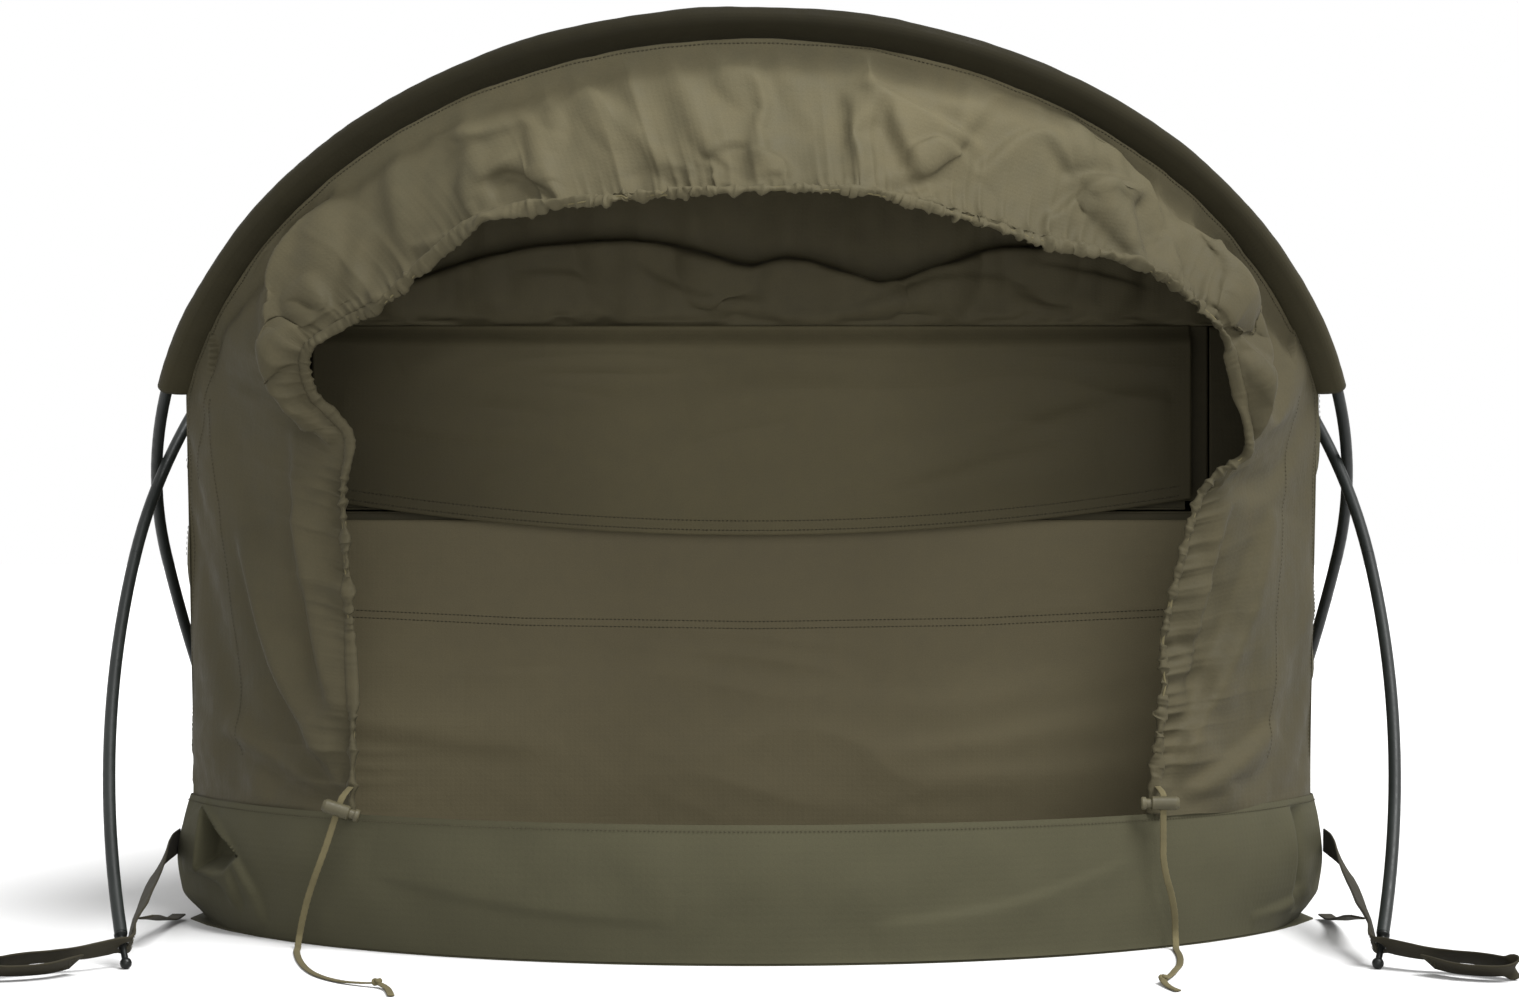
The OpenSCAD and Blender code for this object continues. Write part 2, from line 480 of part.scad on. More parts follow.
// ---- cord locks: the barrel lies along X, its button towards the middle ----
slot_x = 12.45;                // where the cord crosses the barrel
shank_r = 3.55;
barrel_bore = 3.6;
slot_w = cord_w + 0.9;
slot_t = cord_t + 0.9;
lock_y = 86;
left_lock = [-324, lock_y, 112];
right_lock = [322, lock_y, 117];
module at_lock(side) {
    if (side < 0) translate(left_lock) rotate([0, left_tilt, 0]) translate([-slot_x, 0, 0]) children();
    else translate(right_lock) mirror([1, 0, 0]) translate([-slot_x, 0, 0]) children();
}
module barrel() difference() {
    rotate([0, 90, 0]) rotate_extrude() polygon([[0, 0], [barrel_d / 2 - 1.5, 0],
        [barrel_d / 2, 2.5], [barrel_d / 2, barrel_len - 1], [barrel_d / 2 - 1, barrel_len],
        [barrel_bore, barrel_len], [barrel_bore, 1.5], [0, 1.5]]);
    translate([slot_x, 0, 0]) cube([slot_w, slot_t, 2 * barrel_d], center = true);
}
plug_x = 7.5;                  // inner end of the plunger at rest
module plunger() difference() {
    rotate([0, 90, 0]) rotate_extrude() polygon([[0, plug_x], [shank_r, plug_x],
        [shank_r, barrel_len + press + 0.5], [4.6, barrel_len + press + 0.5],
        [5, barrel_len + press + 1.2], [5, barrel_len + 7], [4.2, barrel_len + 8], [0, barrel_len + 8]]);
    translate([slot_x - cord_w / 2 - 0.2, -slot_t / 2, -barrel_d])
        cube([cord_w + press + 0.4, slot_t, 2 * barrel_d]);
}
coils = 4;
spring_run = [for (i = [0:coils * 12]) [lerp(1.8, plug_x - 0.3, i / coils / 12),
    2.6 * cos(i * 30), 2.6 * sin(i * 30)]];
module spring() swept(spring_run, 0.5, 0.5, [1, 0, 0], 6);
module lock_barrel(side) color(olive_light) at_origin() at_lock(side) barrel();
module lock_plunger(side) color(olive) at_origin() at_lock(side) plunger();
module lock_spring(side) color("silver") at_origin() at_lock(side) spring();

// ---- drawcord tails: out of the channel, through the lock, down the tub and along the ground ----
tail_left = [[-316.3, 110, 128.4], [-316.8, 99, 127.2], [-318.6, 90, 124.6], [-321.5, 86, 119.7],
    [-324, 86, 112], [-327.1, 86, 102.5], [-330.2, 86, 93], [-333.3, 86, 83.5], [-338, 88, 71],
    [-344, 94, 56], [-350, 103, 40], [-355, 113, 24], [-358, 119, 12], [-359, 116, 4], [-358, 106, 1.6],
    [-356, 84, 1.4], [-352, 58, 1.4], [-347, 30, 1.4], [-341, 2, 1.4], [-334, -26, 1.4],
    [-325, -54, 1.4], [-313, -80, 1.4], [-298, -102, 1.6], [-282, -117, 2.5], [-270, -126, 3.4],
    [-262, -140, 2], [-258, -158, 1.4], [-255, -176, 1.4]];
tail_right = [[319.9, 110.5, 128.4], [320.2, 99, 127.6], [321, 89.5, 126], [322, 86, 123],
    [322, 86, 117], [322, 86, 106], [322, 86, 95], [322, 86, 84], [323, 86.5, 73], [326, 89, 60],
    [330, 95, 44], [333, 103, 28],
    [334, 108, 14], [334, 104, 5], [333, 94, 1.8], [332, 72, 1.4], [330, 46, 1.4], [327, 20, 1.4],
    [323, -6, 1.4], [317, -32, 1.4], [311, -58, 1.4], [304, -84, 2], [299, -104, 3.4],
    [299, -118, 2.2], [301, -134, 1.4], [304, -150, 1.4]];
knot_left = [-270, -126, 4.4];
knot_right = [299, -104, 4.4];
cord_tan = [0.39, 0.36, 0.27];
module cord_tail_left() color(cord_tan) at_origin() swept(tail_left, cord_w, cord_t, [1, 0.01, 0.02]);
module cord_tail_right() color(cord_tan) at_origin() swept(tail_right, cord_w, cord_t, [1, 0.01, 0.02]);
module cord_knots() color(cord_tan) at_origin() for (p = [knot_left, knot_right])
    translate(p) sphere(r = 4.3);

floor_panel();
tub_band_front();
tub_band_side(-1);  // tub_band_left
tub_band_side(1);  // tub_band_right
tub_band_foot();
hood_left_panel();
hood_top_panel();
hood_right_panel();
hood_hem_channel();
hood_drawcord();
side_wall(-1);  // side_wall_left
side_wall(1);  // side_wall_right
roof_panel();
rear_canopy(-1);  // rear_canopy_left
rear_canopy(1);  // rear_canopy_right
foot_end_panel();
pole_sleeve(-1);  // front_pole_sleeve
pole_sleeve(1);  // rear_pole_sleeve
inner_wall_upper();
inner_wall_sides();
door_sill();
zip_tape_upper();
storm_flap();
door_panel();
zip_tape_lower();
zip_slider();
zip_puller();
for (n = [1:6]) {
    pole_section(-1, n);
    pole_section(1, n);
}
pole_ferrules();
shock_cord(-1);  // front_shock_cord
shock_cord(1);  // rear_shock_cord
pole_tips();
corner_strap_left();
corner_strap_right();
floor_straps();
side_strap_left();
side_strap_right();
strap_eyelets();
foot_loops();
lock_barrel(-1);  // cord_lock_barrel_left
lock_plunger(-1);  // cord_lock_plunger_left
lock_spring(-1);  // cord_lock_spring_left
lock_barrel(1);  // cord_lock_barrel_right
lock_plunger(1);  // cord_lock_plunger_right
lock_spring(1);  // cord_lock_spring_right
cord_tail_left();
cord_tail_right();
cord_knots();
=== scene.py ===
import math

import bpy
import numpy as np
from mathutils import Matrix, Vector


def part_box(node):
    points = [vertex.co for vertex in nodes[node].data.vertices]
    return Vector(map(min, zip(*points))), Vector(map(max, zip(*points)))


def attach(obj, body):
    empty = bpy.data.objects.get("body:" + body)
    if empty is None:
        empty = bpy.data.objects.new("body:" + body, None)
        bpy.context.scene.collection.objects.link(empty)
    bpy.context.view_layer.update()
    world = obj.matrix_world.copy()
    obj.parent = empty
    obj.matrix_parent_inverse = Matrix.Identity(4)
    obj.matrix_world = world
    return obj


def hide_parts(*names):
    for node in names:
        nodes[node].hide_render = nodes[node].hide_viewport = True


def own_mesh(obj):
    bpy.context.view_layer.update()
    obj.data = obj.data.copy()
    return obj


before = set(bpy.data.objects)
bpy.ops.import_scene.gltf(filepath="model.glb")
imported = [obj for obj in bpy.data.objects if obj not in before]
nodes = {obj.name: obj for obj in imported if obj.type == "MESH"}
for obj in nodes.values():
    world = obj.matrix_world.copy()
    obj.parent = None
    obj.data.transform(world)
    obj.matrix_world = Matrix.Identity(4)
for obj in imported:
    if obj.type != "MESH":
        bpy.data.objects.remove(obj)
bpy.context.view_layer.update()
scene = bpy.context.scene

# ---------------------------------------------------------------- layout, in metres
# Heights are from the ground and depths from the middle of the floor's front edge.
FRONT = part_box("floor_panel")[0].y
FLOOR_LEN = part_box("floor_panel")[1].y - FRONT
HEAD_HALF = 0.478
FOOT_HALF = 0.280
FRONT_R = 0.515
FOOT_ROUND = 0.120
TUB_H = 0.105
TUB_BULGE = 0.007
SECTION = 0.432
LEAN = math.radians(46.5)
BENDS = {-1: (0.505, 0.560, 2.500), 1: (0.463, 0.738, 1.340)}
CROWN_Y = 0.040
REAR_FOOT_Y = -0.022
SLEEVE_HALF = 0.665
SIDE_LEN = 0.341
EDGE_HALF = SLEEVE_HALF + SIDE_LEN
SEAM_OFF = -0.016
WALL_TUCK = -0.045
ROOF_SAG = 0.012
RIDGE_SAG = 0.030
FOOT_H = 0.225
REAR_BASE_Y = 0.560
WALL_Y = 0.300
FLAP_Y = 0.290
FLAP_TOP = 0.504
FLAP_HALF = 0.370
FLAP_LEN = 0.177
FLAP_RISE = 0.031
DOOR_HALF = 0.385
DOOR_BOTTOM = 0.061
DOOR_TOP = 0.3399
BASE_Z = TUB_H + 0.001
CORNER_Y = FRONT_R - math.sqrt(FRONT_R ** 2 - HEAD_HALF ** 2)
FOOT_Y = FLOOR_LEN - FOOT_ROUND


# ---------------------------------------------------------------- point helpers
def lerp(a, b, t):
    return a + (b - a) * t


def unit(v):
    v = np.asarray(v, float)
    return v / np.maximum(np.linalg.norm(v, axis=-1, keepdims=True), 1e-12)


def placed(points):
    """Points with their depth measured from the floor's front edge, in the row frame."""
    return np.asarray(points, float) + np.array([0, FRONT, 0])


def angles(count):
    return np.arange(count) * 2 * math.pi / count


def smooth(t):
    t = np.clip(t, 0, 1)
    return t * t * (3 - 2 * t)


def lengths(points):
    steps = np.linalg.norm(np.diff(points, axis=0), axis=1)
    return np.concatenate([[0], np.cumsum(steps)])


def between(a, b, c, d, t):
    """The Catmull-Rom curve from b to c at fraction t, with a before them and d after them."""
    return 0.5 * (2 * b + (c - a) * t + (2 * a - 5 * b + 4 * c - d) * t ** 2
                  + (3 * b - a - 3 * c + d) * t ** 3)


def spline(points, count):
    """count points evenly spaced along a smooth curve through the given ones."""
    p = np.asarray(points, float)
    p = np.vstack([2 * p[0] - p[1], p, 2 * p[-1] - p[-2]])
    fine = []
    for k in range(1, len(p) - 2):
        t = np.linspace(0, 1, 24, endpoint=False)[:, None]
        fine.append(between(*p[k - 1:k + 3], t))
    fine = np.vstack(fine + [p[-2][None]])
    return resample(fine, count)


def resample(points, count):
    run = lengths(points)
    at = np.linspace(0, run[-1], count)
    return np.stack([np.interp(at, run, points[:, k]) for k in range(3)], 1)


class Waves:
    """A smooth random field made of seeded plane waves, about 1 in size."""

    def __init__(self, seed, size, stretch=(1, 1, 1), count=28):
        r = np.random.default_rng(seed)
        way = unit(r.normal(size=(count, 3))) / np.array(stretch)
        self.k = way * (2 * math.pi / size) * r.uniform(0.6, 1.5, (count, 1))
        self.phase = r.uniform(0, 2 * math.pi, count)
        self.scale = math.sqrt(2 / count)

    def __call__(self, p):
        return np.sin(np.asarray(p) @ self.k.T + self.phase).sum(-1) * self.scale


# ---------------------------------------------------------------- hoops
def turns(way):
    return np.concatenate([[0], np.cumsum([SECTION / r for r in BENDS[way]])])


def knees(way):
    turn, at = turns(way), [np.zeros(2)]
    for k, r in enumerate(BENDS[way]):
        step = [math.sin(turn[k + 1]) - math.sin(turn[k]),
                math.cos(turn[k + 1]) - math.cos(turn[k])]
        at.append(at[-1] + r * np.array(step))
    return np.array(at)


def rise(way):
    return -knees(way)[3][1]


def hoop(way, d, off=0.0, n=0.0):
    """Points at distance d from a hoop's crown, off outward and n off its plane.
    way is -1 for the front hoop and 1 for the rear one."""
    d = np.asarray(d, float)
    turn, knee, radii = turns(way), knees(way), np.array(BENDS[way])
    a = np.abs(d)
    k = np.minimum((a / SECTION).astype(int), 2)
    h, r = turn[k], radii[k]
    th = h + (a - k * SECTION) / r
    across = knee[k, 0] - r * np.sin(h) + (r + off) * np.sin(th)
    slant = rise(way) + knee[k, 1] - r * np.cos(h) + (r + off) * np.cos(th)
    foot = REAR_FOOT_Y if way > 0 else CROWN_Y + rise(-1) * math.cos(LEAN)
    y = foot + way * (slant * math.cos(LEAN) - n * math.sin(LEAN))
    return placed(np.stack([np.sign(d) * across, y, slant * math.sin(LEAN) + n * math.cos(LEAN)], -1))


def side_x(y):
    return lerp(HEAD_HALF, FOOT_HALF, (y - CORNER_Y) / (FOOT_Y - CORNER_Y))


def edge(way, a, n=0.0):
    """The edge of the body's fabric: over a hoop inside its sleeve, then down to the tub."""
    a = np.asarray(a, float)
    s = np.sign(a)
    over = hoop(way, np.clip(a, -SLEEVE_HALF, SLEEVE_HALF), SEAM_OFF, n)
    if way > 0:
        base = np.stack([s * side_x(REAR_BASE_Y), 0 * a + REAR_BASE_Y, 0 * a + BASE_Z], -1)
    else:
        base = np.stack([s * (HEAD_HALF - 0.003), 0 * a + CORNER_Y, 0 * a + BASE_Z], -1)
    t = np.clip((np.abs(a) - SLEEVE_HALF) / SIDE_LEN, 0, 1)[..., None]
    return lerp(over, placed(base), t)


# ---------------------------------------------------------------- mesh helpers
FAR = 9.0      # metres, further than any point of the shelter


def new_object(name, data):
    obj = bpy.data.objects.new(name, data)
    scene.collection.objects.link(obj)
    return obj


def grid_faces(m, n, wrap=False):
    i, j = np.meshgrid(np.arange(m - 1), np.arange(n if wrap else n - 1), indexing="ij")
    a, b = i * n + j, i * n + (j + 1) % n
    return np.stack([a, b, b + n, a + n], -1).reshape(-1, 4)


def mesh_object(name, points, faces, uv=None):
    mesh = bpy.data.meshes.new(name)
    if isinstance(faces, np.ndarray):
        faces = faces.tolist()
    mesh.from_pydata(np.asarray(points, float).reshape(-1, 3).tolist(), [], faces)
    if uv is not None:
        layer = mesh.uv_layers.new(name="cloth")
        index = np.zeros(len(mesh.loops), np.int32)
        mesh.loops.foreach_get("vertex_index", index)
        layer.data.foreach_set("uv", np.asarray(uv, float).reshape(-1, 2)[index].ravel())
    mesh.shade_smooth()
    return new_object(name, mesh)


def grid_uv(grid):
    """Flat positions of a grid's points in metres, from its middle row and column."""
    m, n = grid.shape[:2]
    u = lengths(grid[:, n // 2])
    v = lengths(grid[m // 2])
    return np.stack(np.meshgrid(u, v, indexing="ij"), -1)


def grid_normals(grid):
    return unit(np.cross(np.gradient(grid, axis=0), np.gradient(grid, axis=1)))


def turned_to(normal, facing):
    """Each normal, turned over where it points away from facing."""
    return normal * np.sign((normal * facing).sum(1, keepdims=True))


def facing_normals(grid, ahead):
    """The grid's normals, all turned so that together they point ahead."""
    normal = grid_normals(grid)
    return -normal if (normal * ahead).sum() < 0 else normal


def refined(grid, times, axis=0):
    """A grid with `times` as many steps along one axis, on a smooth curve through its points."""
    g = np.moveaxis(grid, axis, 0)
    p = np.concatenate([2 * g[:1] - g[1:2], g, 2 * g[-1:] - g[-2:-1]])
    parts = [between(p[:-3], p[1:-2], p[2:-1], p[3:], k / times) for k in range(times)]
    out = np.stack(parts, 1).reshape(-1, *g.shape[1:])
    return np.moveaxis(np.concatenate([out, g[-1:]]), 0, axis)


def finer(grid, cols_times, rows_times):
    return refined(refined(grid, cols_times, 0), rows_times, 1)


def fractions(cols, rows, first=0.0, last=1.0):
    """Two grids: first to last along the columns, and 0 to 1 down the rows."""
    u = np.linspace(first, last, cols)[:, None] * np.ones((1, rows))
    return u, np.ones((cols, 1)) * np.linspace(0, 1, rows)[None, :]


def sampled(grid, u, v):
    """Points and normals of a grid at fractions u and v of its two sides."""
    m, n = grid.shape[:2]
    normal = grid_normals(grid)
    x, y = np.clip(u, 0, 1) * (m - 1), np.clip(v, 0, 1) * (n - 1)
    i, j = np.minimum(x.astype(int), m - 2), np.minimum(y.astype(int), n - 2)
    s, t = (x - i)[:, None], (y - j)[:, None]
    found = []
    for g in (grid, normal):
        found.append(lerp(lerp(g[i, j], g[i + 1, j], s), lerp(g[i, j + 1], g[i + 1, j + 1], s), t))
    return found[0], unit(found[1])


def sheet_object(name, grid, material, thick=0.0):
    m, n = grid.shape[:2]
    obj = mesh_object(name, grid, grid_faces(m, n), grid_uv(grid))
    obj.data.materials.append(material)
    if thick:
        solid = obj.modifiers.new("thickness", "SOLIDIFY")
        solid.thickness = thick
        solid.offset = 0
    return obj


def tube_object(name, rings, material, caps=True):
    """A closed tube through rings of points."""
    m, k = rings.shape[:2]
    faces = grid_faces(m, k, wrap=True).tolist()
    if caps:
        faces += [list(range(k))[::-1], list(range((m - 1) * k, m * k))]
    uv = np.stack(np.meshgrid(lengths(rings[:, 0]), np.arange(k) * 0.004, indexing="ij"), -1)
    obj = mesh_object(name, rings, faces, uv)
    obj.data.materials.append(material)
    return obj


def rides(obj, body, replaced=()):
    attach(obj, body)
    if replaced:
        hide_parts(*replaced)
    return obj


def cloth_piece(name, grid, mat, replaced, body="shelter", thick=0.0):
    """A sheet on its body, in place of its CAD nodes."""
    obj = sheet_object(name, grid, mat, thick)
    rides(obj, body, replaced)


def draped(grid, pinned, slack, weight=0.3, frames=26, stiff=0.6, seed=1, rough=0.0015, loose=None):
    """The grid as cloth with some spare width, held at its pinned points, after it settles.
    loose says, from 0 to 1, how much of the spare width each point gets."""
    m, n = grid.shape[:2]
    start = grid + grid_normals(grid) * (Waves(seed, 0.09)(grid) * rough * ~pinned)[..., None]
    obj = mesh_object("draping", start, grid_faces(m, n))
    group = obj.vertex_groups.new(name="held")
    group.add(np.flatnonzero(pinned.ravel()).tolist(), 1.0, "REPLACE")
    cloth = obj.modifiers.new("cloth", "CLOTH")
    s = cloth.settings
    s.quality = 6
    s.mass = 0.12
    s.tension_stiffness = s.compression_stiffness = 12
    s.shear_stiffness = 4
    s.bending_stiffness = stiff
    s.air_damping = 3
    s.vertex_group_mass = "held"
    s.shrink_min = -slack
    if loose is not None:
        spare = obj.vertex_groups.new(name="spare")
        for k, value in enumerate(loose.ravel().tolist()):
            spare.add([k], value, "REPLACE")
        s.vertex_group_shrink = "spare"
        s.shrink_min = 0.0
        s.shrink_max = -slack
    s.effector_weights.gravity = weight
    cloth.point_cache.frame_end = frames
    for f in range(1, frames + 1):
        scene.frame_set(f)
    settled = obj.evaluated_get(bpy.context.evaluated_depsgraph_get()).to_mesh()
    co = np.zeros(m * n * 3, np.float32)
    settled.vertices.foreach_get("co", co)
    bpy.data.objects.remove(obj)
    scene.frame_set(1)
    return co.reshape(m, n, 3).astype(float)


def border(m, n, sides="0123"):
    """A mask of a grid's held edges: 0 and 1 are its first and last row, 2 and 3 its columns."""
    mask = np.zeros((m, n), bool)
    every = slice(None)
    for side, cut in zip("0123", ((0, every), (-1, every), (every, 0), (every, -1))):
        if side in sides:
            mask[cut] = True
    return mask


def creased(grid, folds, facing, step=0.003):
    """The grid with folds, each along a line given as front-view x and height: its left side,
    seen along the line, is raised and laid a little over its right side, within step of the line."""
    flat = grid[..., [0, 2]]
    normal = facing_normals(grid, facing)
    moved = np.zeros(grid.shape)
    for line, height, wide, drop, tight, lap in folds:
        p = spline([(x, 0, z) for x, z in line], 3 * len(line) + 1)[:, [0, 2]]
        run = lengths(p)
        gap = np.full(flat.shape[:2], FAR)
        signed, part = np.zeros(flat.shape[:2]), np.zeros(flat.shape[:2])
        way = np.zeros(flat.shape)
        for k in range(len(p) - 1):
            along = unit(p[k + 1] - p[k])
            size = run[k + 1] - run[k]
            rel = flat - p[k]
            t = np.clip(rel @ along, 0, size)
            left = np.array([-along[1], along[0]])
            d = np.linalg.norm(rel - t[..., None] * along, axis=-1)
            closer = d < gap
            gap = np.where(closer, d, gap)
            signed = np.where(closer, rel @ left, signed)
            part = np.where(closer, (run[k] + t) / run[-1], part)
            way[closer] = left
        fade = np.clip(4 * part * (1 - part), 0, 1) ** 0.6
        raised = np.where(signed > 0, np.exp(-gap / wide), 0)
        sunk = np.where(signed > 0, 0, np.exp(-gap / tight))
        edge_step = 0.5 + 0.5 * np.tanh(signed / step)
        level_at = (height * np.exp(-gap / wide) * edge_step
                    - drop * np.exp(-gap / tight) * (1 - edge_step))
        level_at = level_at * (raised + sunk > 0.02)
        moved += normal * (level_at * fade)[..., None]
        side = lap * raised * fade ** 2
        moved[..., 0] -= side * way[..., 0]
        moved[..., 2] -= side * way[..., 1]
    return grid + moved


def softened(grid, along, across):
    """The grid with its sharpest bends eased, by so many passes along and across it."""
    grid = grid.copy()
    for _ in range(along):
        grid[1:-1] = (grid[:-2] + 2 * grid[1:-1] + grid[2:]) / 4
    for _ in range(across):
        grid[:, 1:-1] = (grid[:, :-2] + 2 * grid[:, 1:-1] + grid[:, 2:]) / 4
    return grid


def stitched(name, runs, body, pitch=0.0034, stitch=0.0023, proud=0.0002, thick=0.0004):
    """Rows of short raised stitches. Each run is points and normals along a seam."""
    blocks = []
    for line, normal in runs:
        run = lengths(line)
        at = np.arange(pitch, run[-1] - pitch / 2, pitch)
        p = np.stack([np.interp(at, run, line[:, k]) for k in range(3)], 1)
        up = unit(np.stack([np.interp(at, run, normal[:, k]) for k in range(3)], 1))
        along = unit(np.gradient(p, axis=0))
        side = unit(np.cross(up, along)) * thick
        p = p + up * proud
        a, lift = along * stitch / 2, up * thick
        blocks.append(np.stack([p - a, p - a * 0.6 + side, p + a * 0.6 + side, p + a, p + a * 0.6 - side,
                                p - a * 0.6 - side, p - a * 0.6 + lift, p + a * 0.6 + lift], 1))
    points = np.concatenate(blocks)
    shape = [[0, 6, 5], [0, 1, 6], [1, 2, 7, 6], [2, 3, 7], [3, 4, 7], [4, 5, 6, 7], [0, 5, 4, 3, 2, 1]]
    faces = [[8 * k + c for c in face] for k in range(len(points)) for face in shape]
    obj = mesh_object(name, points.reshape(-1, 3), faces, points.reshape(-1, 3)[:, :2])
    obj.data.materials.append(THREAD)
    return rides(obj, body)


def along_grid(grid, u, v, count=400, lift=0.0, facing=None):
    """A seam on a grid through the given fractions of its two sides: points and normals."""
    at = np.linspace(0, 1, count)
    knots = np.linspace(0, 1, len(np.atleast_1d(u)))
    p, normal = sampled(grid, np.interp(at, knots, u), np.interp(at, knots, v))
    if facing is not None:
        normal = turned_to(normal, facing)
    return p + normal * lift, normal


# ---------------------------------------------------------------- materials
def material(name, base, rough=0.6, metal=0.0):
    mat = bpy.data.materials.new(name)
    mat.use_nodes = True
    shader = mat.node_tree.nodes["Principled BSDF"]
    shader.inputs["Base Color"].default_value = (*base, 1)
    shader.inputs["Roughness"].default_value = rough
    shader.inputs["Metallic"].default_value = metal
    return mat, mat.node_tree, shader


def add(tree, kind, **values):
    node = tree.nodes.new(kind)
    for key, value in values.items():
        if key in node.inputs.keys():
            node.inputs[key].default_value = value
        else:
            setattr(node, key, value)
    return node


def scaled(base, by):
    return tuple(min(1.0, c * by) for c in base) + (1,)


def noise(tree, scale, detail=3.0, vector=None, distortion=0.0):
    node = add(tree, "ShaderNodeTexNoise", Scale=scale, Detail=detail, Distortion=distortion)
    if vector is not None:
        tree.links.new(vector, node.inputs["Vector"])
    return node.outputs["Fac"]


def ramp(tree, value, stops):
    node = tree.nodes.new("ShaderNodeValToRGB")
    tree.links.new(value, node.inputs["Fac"])
    e = node.color_ramp.elements
    e[0].position, e[0].color = stops[0]
    e[1].position, e[1].color = stops[-1]
    for position, colour in stops[1:-1]:
        e.new(position).color = colour
    return node.outputs["Color"]


def math_node(tree, operation, a, b):
    node = add(tree, "ShaderNodeMath", operation=operation)
    for socket, value in zip(node.inputs, (a, b)):
        if isinstance(value, (int, float)):
            socket.default_value = value
        else:
            tree.links.new(value, socket)
    return node.outputs[0]


def bump(tree, height, strength, distance, normal=None):
    node = add(tree, "ShaderNodeBump", Strength=strength, Distance=distance)
    tree.links.new(height, node.inputs["Height"])
    if normal is not None:
        tree.links.new(normal, node.inputs["Normal"])
    return node.outputs["Normal"]


def fabric(name, base, weave=1500, crumple=0.5, shade=0.16, rough=0.62, sheen=0.01, warm=0.0, painted_light_by_height=None,
           sides=None):
    """Plain-woven coated cloth: crossing threads, small creases, slubs and uneven dye. Its last two arguments
    paint light and shade into its colour, lighter or darker with height and with distance from the middle."""
    mat, tree, shader = material(name, base, rough)
    link = tree.links.new
    uv = add(tree, "ShaderNodeUVMap", uv_map="cloth").outputs["UV"]
    place = add(tree, "ShaderNodeTexCoord").outputs["Object"]
    broad = noise(tree, 7, 3, place)
    mottled = noise(tree, 60, 4, place)
    slub = noise(tree, 900, 2, uv)
    blotch = math_node(tree, "ADD", math_node(tree, "MULTIPLY", broad, 0.6),
                       math_node(tree, "MULTIPLY", mottled, 0.4))
    dark = scaled(base, 1 - shade)
    light = scaled((base[0] * (1 + warm), base[1], base[2] * (1 - warm)), 1 + shade)
    dyed = ramp(tree, blotch, [(0.32, dark), (0.68, light)])
    mix = add(tree, "ShaderNodeMix", data_type="RGBA", blend_type="MULTIPLY")
    mix.inputs["Factor"].default_value = 1
    # Painted light and shade: the colour is scaled down or up with height and with distance from the middle.
    for axis, values in (("Z", painted_light_by_height), ("X", sides)):
        if values is None:
            continue
        parts = add(tree, "ShaderNodeSeparateXYZ")
        link(place, parts.inputs["Vector"])
        span = add(tree, "ShaderNodeMapRange")
        for key, value in zip(("From Min", "From Max", "To Min", "To Max"), values):
            span.inputs[key].default_value = value
        link(math_node(tree, "ABSOLUTE", parts.outputs[axis], 0), span.inputs["Value"])
        painted_light = add(tree, "ShaderNodeMix", data_type="RGBA", blend_type="MULTIPLY")
        painted_light.inputs["Factor"].default_value = 1
        link(dyed, painted_light.inputs["A"])
        link(span.outputs["Result"], painted_light.inputs["B"])
        dyed = painted_light.outputs["Result"]
    link(dyed, mix.inputs["A"])
    link(ramp(tree, slub, [(0.25, (0.86, 0.86, 0.86, 1)), (0.75, (1, 1, 1, 1))]), mix.inputs["B"])
    link(mix.outputs["Result"], shader.inputs["Base Color"])
    threads = []
    for direction in ("X", "Y"):
        wave = add(tree, "ShaderNodeTexWave", bands_direction=direction, Scale=weave / 20, Distortion=0.6)
        wave.inputs["Detail Scale"].default_value = 2
        link(uv, wave.inputs["Vector"])
        threads.append(wave.outputs["Fac"])
    woven = math_node(tree, "MULTIPLY", *threads)
    normal = bump(tree, woven, 0.25, 0.0003)
    normal = bump(tree, slub, 0.2, 0.0004, normal)
    creases = noise(tree, 28, 5, place, 0.6)
    sharp = math_node(tree, "ABSOLUTE", math_node(tree, "SUBTRACT", creases, 0.5), 0)
    normal = bump(tree, sharp, crumple, 0.010, normal)
    link(normal, shader.inputs["Normal"])
    link(ramp(tree, mottled, [(0.3, (rough - 0.08,) * 3 + (1,)), (0.7, (rough + 0.1,) * 3 + (1,))]),
         shader.inputs["Roughness"])
    shader.inputs["Sheen Weight"].default_value = sheen
    shader.inputs["Sheen Roughness"].default_value = 0.5
    shader.inputs["Specular IOR Level"].default_value = 0.05
    return mat


def hard(name, base, rough=0.4, metal=0.0, grain=300, wear=0.25):
    """Moulded plastic or anodised metal: fine grain, faint scuffs and uneven gloss."""
    mat, tree, shader = material(name, base, rough, metal)
    link = tree.links.new
    place = add(tree, "ShaderNodeTexCoord").outputs["Object"]
    fine, scuff = noise(tree, grain, 3, place), noise(tree, grain / 9, 5, place)
    worn = [(0.35, scaled(base, 1 - wear)), (0.6, scaled(base, 1)), (0.8, scaled(base, 1 + wear))]
    link(ramp(tree, scuff, worn), shader.inputs["Base Color"])
    link(ramp(tree, fine, [(0.3, (rough * 0.8,) * 3 + (1,)), (0.7, (min(1, rough * 1.25),) * 3 + (1,))]),
         shader.inputs["Roughness"])
    link(bump(tree, fine, 0.15, 0.0002), shader.inputs["Normal"])
    if metal < 0.5:
        shader.inputs["Specular IOR Level"].default_value = 0.22
    return mat
